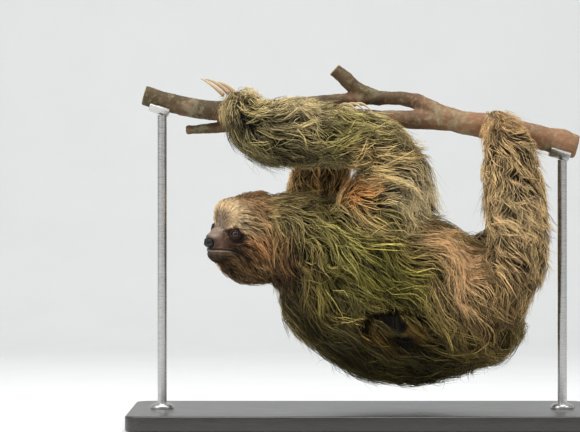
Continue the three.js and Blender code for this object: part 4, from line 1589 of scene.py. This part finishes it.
    @staticmethod
    def gathered(lines: Array, leader: Array, mine: Array, pull: Array) -> None:
        """Draws the locks' tips to their leader's, so that they part from their neighbours."""
        slot = np.full(leader.max() + 1, -1)
        inside = mine[mine <= leader.max()]
        slot[inside] = np.arange(len(mine))[mine <= leader.max()]
        lead = slot[leader[mine]]
        led = lead >= 0
        share = np.linspace(0, 1, lines.shape[1]) ** 1.25
        amount = (share[None, :] * pull[mine][:, None])[led][:, :, None]
        target = lines[lead[led]][:, :, :3]
        lines[led, :, :3] = blended(lines[led, :, :3], target, amount)

    def toned(self, near: Array, shown: Array, layer: Array, group: Array,
              single: Array) -> Array:
        """Returns each lock's colour, alike in a gather: painted shade low in the coat, painted light on
        top.
        """
        base = 0.3 * self.pelt.colour[near] + 0.7 * self.pelt.colour[shown]
        long = smooth_step(4 * MM, 18 * MM, self.pelt.length[near])
        # painted shade on the deep locks and painted light on the top ones
        low = self.layer_shade[0] + self.layer_shade[1] * smooth_step(0.14, 0.8, layer)
        pale = 0.62 * smooth_step(0.35, 0.85, base.max(1))
        level = (1 - long) + long * (low * (1 - pale) + pale)
        spread = (0.3 + 0.7 * long) * (1 - 0.5 * pale)
        level = level * np.exp((0.44 * group + 0.54 * single) * spread - 0.1 * long)
        colours = base * level[:, None]
        # a painted highlight: a few long top locks brightened to straw
        highlighted = (single > 0.9)[:, None] * (long * layer)[:, None] * 0.55
        straw_highlight = base * np.array(self.straw_highlight) + 0.02 * smooth_step(0.02, 0.12, base.max(1))[:, None]
        colours = blended(colours, straw_highlight, highlighted)
        return colours * np.minimum(1, self.brightest / colours.max(1, keepdims=True))

    def solids(self, lines: Array, width: Array, tone: Array,
               chart: Array) -> tuple[Array, Array, Array, Array]:
        """Returns the points, triangles, colours and chart places of closed locks."""
        count, rings = lines.shape[0], lines.shape[1] - 1
        path, outward = lines[:, :, :3], lines[:, :, 3:]
        along = unit(np.gradient(path, axis=1))
        side = unit(np.cross(along, outward))
        over = np.cross(side, along)
        share = np.arange(rings) / rings
        taper = np.interp(share, *self.taper)
        half = (width[:, None] * 0.5 * taper[None])[:, :, None]
        middle, side, over = path[:, :rings], side[:, :rings], over[:, :rings]
        left = middle - side * half - over * half * self.keel
        right = middle + side * half - over * half * self.keel
        top = middle + over * half * self.crest
        body = np.stack([left, right, top], 2).reshape(count, rings * 3, 3)
        points = np.concatenate([body, path[:, rings:]], 1)
        faces = []
        for ring in range(rings - 1):
            for corner in range(3):
                here, beside = ring * 3 + corner, ring * 3 + (corner + 1) % 3
                faces += [(here, here + 3, beside + 3), (here, beside + 3, beside)]
        last = (rings - 1) * 3
        faces += [(last + corner, rings * 3, last + (corner + 1) % 3) for corner in range(3)]
        faces.append((0, 1, 2))
        size = rings * 3 + 1
        every = (np.arange(count)[:, None, None] * size + np.array(faces)[None]).reshape(-1, 3)
        reach = np.concatenate([np.repeat(share, 3), [1.0]])
        # painted shade towards each lock's root and painted light towards its tip
        shade = np.interp(reach, *self.shade)
        colours = (tone[:, None] * shade[None, :, None]).reshape(-1, 3)
        across = np.concatenate([np.tile((0.0, 1.0, 0.5), rings), [0.5]])
        patch = np.stack([across, reach], 1) * self.patch
        unwrap = (chart[:, None] + patch[None]).reshape(-1, 2)
        return points.reshape(-1, 3), every, colours, unwrap

    @staticmethod
    def joined(name: str, points: Array, faces: Array, colours: Array,
               unwrap: Array) -> Piece:
        """Returns an object of the given triangles with its colours and its OFBake map."""
        mesh = bpy.data.meshes.new(name)
        mesh.vertices.add(len(points))
        mesh.vertices.foreach_set("co", points.astype(np.float32).ravel())
        mesh.loops.add(faces.size)
        mesh.loops.foreach_set("vertex_index", faces.astype(np.int32).ravel())
        mesh.polygons.add(len(faces))
        mesh.polygons.foreach_set("loop_start", np.arange(0, faces.size, 3, dtype=np.int32))
        mesh.update(calc_edges=True)
        layer = mesh.uv_layers.new(name="OFBake")
        layer.data.foreach_set("uv", unwrap[faces.ravel()].astype(np.float32).ravel())
        store_colour(mesh, "coat", colours)
        mesh.shade_smooth()
        return new_object(name, mesh)


# ---------- eyes, nose and claws ----------


@dataclass
class Eyes:
    """The two eyeballs, each with a cornea that stands a little proud of the ball."""

    face: Face
    cornea: float = 0.35

    def build(self, side: int) -> Piece:
        """Returns one eyeball, the left for 1 and the right for -1."""
        ball = bmesh.new()
        bmesh.ops.create_icosphere(ball, subdivisions=5, radius=self.face.ball * MM)
        centre = self.face.axes.eyes[side]
        _, axes = self.face.eye_place(side, np.zeros((1, 3)))
        out = axes[2] @ self.face.axes.turn
        points = places_of(ball.verts)
        turn = np.arccos(np.clip(unit(points) @ out, -1, 1)) / math.pi
        bulge = 1 + self.cornea / self.face.ball * smooth_step(0.27, 0.1, turn)
        for vertex, share in zip(ball.verts, bulge):
            vertex.co = vertex.co * share + Vector(centre)
        name = "eyeball_left" if side == 1 else "eyeball_right"
        piece = object_from(name, ball)
        store_value(piece.data, "gaze", turn)
        piece.data.materials.append(Finishes().eye())
        return piece


@dataclass
class NosePad:
    """The bare nose pad with its two nostrils and the cleft between them."""

    axes: HeadAxes
    nostril: Triple = (0.62, 0.72, 0.12)
    nostril_reach: float = 0.3
    radii: Triple = (4.8, 7.2, 5.4)
    shift: Triple = (-0.8, 0.0, -0.3)
    nostril_depth: float = 2.1
    wing: Triple = (0.52, 0.16, 0.35)
    cleft: float = 0.5
    cleft_width: float = 0.09
    squareness: Triple = (0.9, 0.85, 0.95)

    def build(self) -> Piece:
        """Returns the nose pad, drawn from a sphere to the given radii."""
        pad = bmesh.new()
        bmesh.ops.create_icosphere(pad, subdivisions=5, radius=1)
        radii = np.array(self.radii)
        centre = np.array(self.axes.nose) + np.array(self.shift)
        rounds = places_of(pad.verts)
        squared = np.sign(rounds) * np.abs(rounds) ** np.array(self.squareness)
        places = squared * radii
        holes = np.zeros(len(rounds))
        for side in (1, -1):
            toward = unit(np.array(self.nostril) * (1, side, 1))
            offset = rounds - toward
            offset[:, 2] += 0.45 * np.abs(offset[:, 1])
            hole = bell(np.linalg.norm(offset * (0.8, 1, 1.25), axis=1), self.nostril_reach)
            place, width, height = self.wing
            wing = bell(distance(rounds, toward) - place, width)
            places -= rounds * (hole * self.nostril_depth)[:, None]
            places += rounds * (wing * height)[:, None]
            holes = np.maximum(holes, hole)
        line = bell(rounds[:, 1], self.cleft_width) * smooth_step(0.2, 0.6, rounds[:, 0])
        places -= rounds * (line * self.cleft)[:, None]
        world = self.axes.world(places + centre)
        for vertex, place in zip(pad.verts, world):
            vertex.co = place
        piece = object_from("nose_pad", pad)
        store_value(piece.data, "nostril", 1 - smooth_step(0.45, 0.75, holes))
        piece.data.materials.append(Finishes().nose())
        return piece


@dataclass
class Claws:
    """The twelve long claws, each a rounded copy of its solid, filled out by what that takes."""

    frame: dict[str, Any]
    fill: float = 0.22

    def build(self) -> list[Piece]:
        """Returns the claws."""
        horn = Finishes().horn()
        pieces = []
        for node in sorted(name for name in self.frame["nodes"] if name.startswith("claw_")):
            shape = merged(self.frame, [node])
            bmesh.ops.subdivide_edges(shape, edges=shape.edges, cuts=2, use_grid_fill=True)
            soften(shape, shape.verts, 5)
            shape.normal_update()
            for vertex in shape.verts:
                vertex.co += vertex.normal * self.fill * MM
            piece = object_from(node + "_horn", shape)
            apart = distance(places_of(piece.data.vertices), place_in(self.bearer(node)))
            along = (apart - apart.min()) / (apart.max() - apart.min())
            store_value(piece.data, "along", along)
            piece.data.materials.append(horn)
            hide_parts(node)
            pieces.append(piece)
        return pieces

    @staticmethod
    def bearer(node: str) -> str:
        """Returns the hand or foot that a claw grows from."""
        return node.removeprefix("claw_")[:-2]


# ---------- perch and stand ----------


@dataclass(frozen=True)
class SawnEnd:
    """One cut end of the branch: its place in the perch's box and the way it faces."""

    at: Triple
    facing: Triple


@dataclass
class Perch:
    """The cut branch, with bark relief, lichen and sawn ends.

    Each swell of the bark has a height, a size in millimetres, a seed, a number of waves and its
    stretch along the branch.
    """

    frame: dict[str, Any]
    voxel: float = 1.7
    relief: float = 0.75
    swells: Sequence[tuple[float, float, int, int, float]] = (
        (0.5, 16, 41, 9, 1.0),
        (0.3, 5, 42, 11, 0.5),
        (0.25, 2.6, 43, 11, 1.0),
    )
    end_reach: float = 30.0
    flatness: float = 0.86
    ends: Sequence[SawnEnd] = (
        SawnEnd((0.0, 0.5, 0.7), (-1.0, 0.0, 0.25)),
        SawnEnd((1.0, 0.5, 0.12), (1.0, 0.0, -0.25)),
        SawnEnd((0.105, 0.5, 0.31), (-1.0, 0.0, -0.08)),
        SawnEnd((0.43, 0.5, 1.0), (-0.72, 0.0, 0.68)),
    )

    def build(self) -> Piece:
        """Returns the perch."""
        mesh = remeshed("perch", merged(self.frame, ["perch"]), self.voxel)
        net = Net(mesh)
        net.points = net.smoothed(net.points, 3)
        normals = net.normals()
        sawn, rings = np.zeros(len(net.points)), np.zeros(len(net.points))
        for end in self.ends:
            mine, away = self.cut(net, normals, end)
            sawn = np.maximum(sawn, mine)
            rings = np.where(mine > 0.1, away, rings)
        points = net.points
        height = sum(rise * ripple(points * (stretch, 1, 1), size, seed, waves)
                     for rise, size, seed, waves, stretch in self.swells)
        knots = np.maximum(ripple(points, 24, 44, 9) - 0.9, 0) * 2.2
        net.points = points + normals * ((height * self.relief + knots) * MM * (1 - sawn))[:, None]
        net.store(mesh)
        mesh.shade_smooth()
        piece = new_object("branch", mesh)
        store_value(mesh, "sawn", sawn)
        store_value(mesh, "rings", rings)
        low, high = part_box("perch")
        along = (points[:, 0] - low[0]) / (high[0] - low[0])
        store_value(mesh, "red_side", smooth_step(0.55, 0.72, along))
        piece.data.materials.append(Finishes().bark())
        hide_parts("perch")
        return piece

    def cut(self, net: Net, normals: Array, end: SawnEnd) -> tuple[Array, Array]:
        """Returns where a sawn face is, and how far each point lies from its pith."""
        facing = unit(np.array(end.facing))
        near = distance(net.points, place_in("perch", end.at)) < self.end_reach * MM
        flat = near & (normals @ facing > self.flatness)
        if not flat.any():
            return np.zeros(len(net.points)), np.zeros(len(net.points))
        pith = net.points[flat].mean(0)
        across = net.points - pith
        across = across - facing * (across @ facing)[:, None]
        away = np.linalg.norm(across, axis=1)
        rim = away[flat].max()
        return net.smoothed(flat.astype(float), 1), np.clip(away / rim, 0, 1)


@dataclass
class Stand:
    """The plain base, the two rods with their collars, and the cradles under the branch."""

    frame: dict[str, Any]
    corner: float = 18.0
    edge: float = 2.0
    cradle_edge: float = 0.5
    play: float = 0.3

    def build(self) -> list[Piece]:
        """Returns the stand's pieces."""
        pieces = [self.base()]
        steel = Finishes().steel()
        for side in ("left", "right"):
            made = (self.rod(side), self.collar(side), self.cradle(side))
            for piece, kind in zip(made, ("rod", "collar", "cradle")):
                piece.data.materials.append(steel)
                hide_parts(f"stand_{kind}_{side}")
                pieces.append(piece)
        return pieces

    def base(self) -> Piece:
        """Returns the flat base with round corners and a softened top edge."""
        low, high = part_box("stand_base")
        slab = bmesh.new()
        bmesh.ops.create_cube(slab, size=1)
        bmesh.ops.scale(slab, verts=slab.verts, vec=high - low)
        bmesh.ops.translate(slab, verts=slab.verts, vec=(low + high) / 2)
        upright = [edge for edge in slab.edges if abs(edge.verts[0].co.z - edge.verts[1].co.z) > MM]
        round_off(slab, upright, self.corner, 10)
        flat = [edge for edge in slab.edges if edge.calc_face_angle(0) > 1.2]
        round_off(slab, flat, self.edge, 4)
        piece = object_from("display_base", slab, 35)
        piece.data.materials.append(Finishes().lacquer())
        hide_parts("stand_base")
        return piece

    def rod(self, side: str) -> Piece:
        """Returns one upright rod."""
        low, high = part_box(f"stand_rod_{side}")
        shape = bmesh.new()
        radius = (high.x - low.x) / 2
        bmesh.ops.create_cone(shape, cap_ends=True, segments=48, radius1=radius, radius2=radius,
                              depth=high.z - low.z)
        bmesh.ops.translate(shape, verts=shape.verts, vec=(low + high) / 2)
        return object_from(f"rod_{side}", shape, 40)

    def collar(self, side: str) -> Piece:
        """Returns the turned collar round a rod's foot."""
        low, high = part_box(f"stand_collar_{side}")
        rod_low, rod_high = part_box(f"stand_rod_{side}")
        middle = (low + high) / 2
        inner = (rod_high.x - rod_low.x) / 2 + self.play * MM
        outer, top = (high.x - low.x) / 2, high.z - low.z
        outline = [(inner, 0), (outer, 0), (outer, 0.3 * top), (outer - 0.12 * top, 0.55 * top),
                   (inner + 0.55 * (outer - inner), 0.86 * top), (inner + 0.2 * (outer - inner), top),
                   (inner, top)]
        shape = bmesh.new()
        verts = [shape.verts.new((radius, 0, height)) for radius, height in outline]
        edges = [shape.edges.new(pair) for pair in zip(verts, verts[1:] + verts[:1])]
        bmesh.ops.spin(shape, geom=verts + edges, cent=(0, 0, 0), axis=(0, 0, 1), angle=2 * math.pi,
                       steps=64, use_merge=True)
        weld(shape)
        bmesh.ops.translate(shape, verts=shape.verts, vec=(middle.x, middle.y, low.z))
        return object_from(f"collar_{side}", shape, 40)

    def cradle(self, side: str) -> Piece:
        """Returns the open cradle that carries the branch."""
        shape = merged(self.frame, [f"stand_cradle_{side}"])
        bmesh.ops.dissolve_limit(shape, angle_limit=math.radians(4), verts=shape.verts, edges=shape.edges)
        crisp = [edge for edge in shape.edges if edge.is_manifold and edge.calc_face_angle(0) > 0.9]
        round_off(shape, crisp, self.cradle_edge, 2)
        return object_from(f"cradle_{side}", shape, 32)


# ---------- the room ----------


@dataclass
class Studio:
    """A pale floor that sweeps up to a wall, soft lamps, and the camera."""

    camera_x: float = -0.078
    camera_distance: float = 3.0
    camera_height: float = 0.2237
    view_width: float = 0.6264
    aim_height: float = 0.22
    paper: Triple = (0.8, 0.81, 0.8)
    sky: Triple = (0.97, 0.99, 1.0)
    sky_strength: float = 0.42
    lamp_list: Sequence[tuple[str, Triple, float, float]] = (
        ("sky_lamp", (-0.1, -0.35, 2.3), 1.5, 44),
        ("front_lamp", (-2.0, -1.4, 1.7), 1.4, 35),
        ("side_lamp", (1.6, -1.3, 1.7), 1.2, 13),
    )

    def build(self) -> None:
        """Makes the room."""
        self.sweep()
        self.lamps()
        self.camera()
        bpy.context.scene.view_settings.view_transform = "Standard"

    def sweep(self) -> None:
        """Lays the floor and its backdrop as one curved sheet, clear when seen from behind."""
        radius, back, half, top, under, bends = 0.9, 1.6, 4.0, 4.0, 0.0005, 12
        profile = [(-half, -under), (back, -under)]
        for step in range(1, bends + 1):
            turn = step / bends * math.pi / 2
            profile.append((back + radius * math.sin(turn), radius * (1 - math.cos(turn)) - under))
        profile.append((back + radius, top))
        verts = [(x, y, z) for y, z in profile for x in (-half, half)]
        strips = [(2 * row, 2 * row + 1, 2 * row + 3, 2 * row + 2) for row in range(len(profile) - 1)]
        mesh = bpy.data.meshes.new("floor")
        mesh.from_pydata(verts, [], strips)
        mesh.shade_smooth()
        floor = new_object("floor", mesh)
        paint = Paint("paper", Roughness=0.85, Specular_IOR_Level=0.2)
        tone = paint.level(paint.noise(160, 3), 0.3, 0.7, 0.98, 1.0)
        colour = paint.mix(1.0, self.paper, tone, "MULTIPLY")
        behind = paint.node("NewGeometry", {}, (), 6)
        floor.data.materials.append(paint.finish(colour, Alpha=1 - behind))

    def lamp(self, name: str, place: Sequence[float], size: float, power: float) -> None:
        """Hangs one soft square lamp that faces the animal."""
        data = bpy.data.lights.new(name, "AREA")
        data.size, data.energy = size, power
        lamp = new_object(name, data)
        lamp.location = place
        away = Vector((0, 0, self.aim_height)) - Vector(place)
        lamp.rotation_euler = away.to_track_quat("-Z", "Y").to_euler()

    def lamps(self) -> None:
        """Lights the animal softly, mostly from above as under an open sky."""
        for name, place, size, power in self.lamp_list:
            self.lamp(name, place, size, power)
        world = bpy.data.worlds.new("studio")
        world.use_nodes = True
        background = world.node_tree.nodes["Background"]
        background.inputs["Color"].default_value = (*self.sky, 1)
        background.inputs["Strength"].default_value = self.sky_strength
        bpy.context.scene.world = world

    def camera(self) -> None:
        """Sets the camera level, square to the back and above the floor."""
        data = bpy.data.cameras.new("camera")
        data.sensor_width = 36
        data.lens = data.sensor_width * self.camera_distance / self.view_width
        data.clip_end = 30
        camera = new_object("camera", data)
        camera.location = (self.camera_x, -self.camera_distance, self.camera_height)
        camera.rotation_euler = (math.pi / 2, 0, 0)
        bpy.context.scene.camera = camera


def main() -> None:
    """Builds the room, the animal and its stand."""
    logging.basicConfig(level=logging.INFO, format="%(message)s")
    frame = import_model()
    Studio().build()
    axes = HeadAxes().solve()
    face = Face(axes)
    skin = Skin(frame, face)
    hide = skin.build()
    pelt = Pelt(skin)
    pelt.map()
    hide.data.materials.append(Finishes().skin())
    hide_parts(*FLESH)
    pieces = [hide]
    LOG.info("skin: %d faces", len(hide.data.polygons))
    for piece in Coat(pelt).grow(Finishes().fur()):
        pieces.append(piece)
    eyes = Eyes(face)
    for side, node in ((1, "eye_left"), (-1, "eye_right")):
        ball = eyes.build(side)
        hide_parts(node)
        pieces.append(ball)
    pad = NosePad(axes).build()
    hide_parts("nose")
    pieces.append(pad)
    pieces += Claws(frame).build()
    pieces.append(Perch(frame).build())
    pieces += Stand(frame).build()
    for piece in pieces:
        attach(piece, "root")
        LOG.info("%s: %d faces", piece.name, len(piece.data.polygons))


if __name__ == "__main__":
    main()
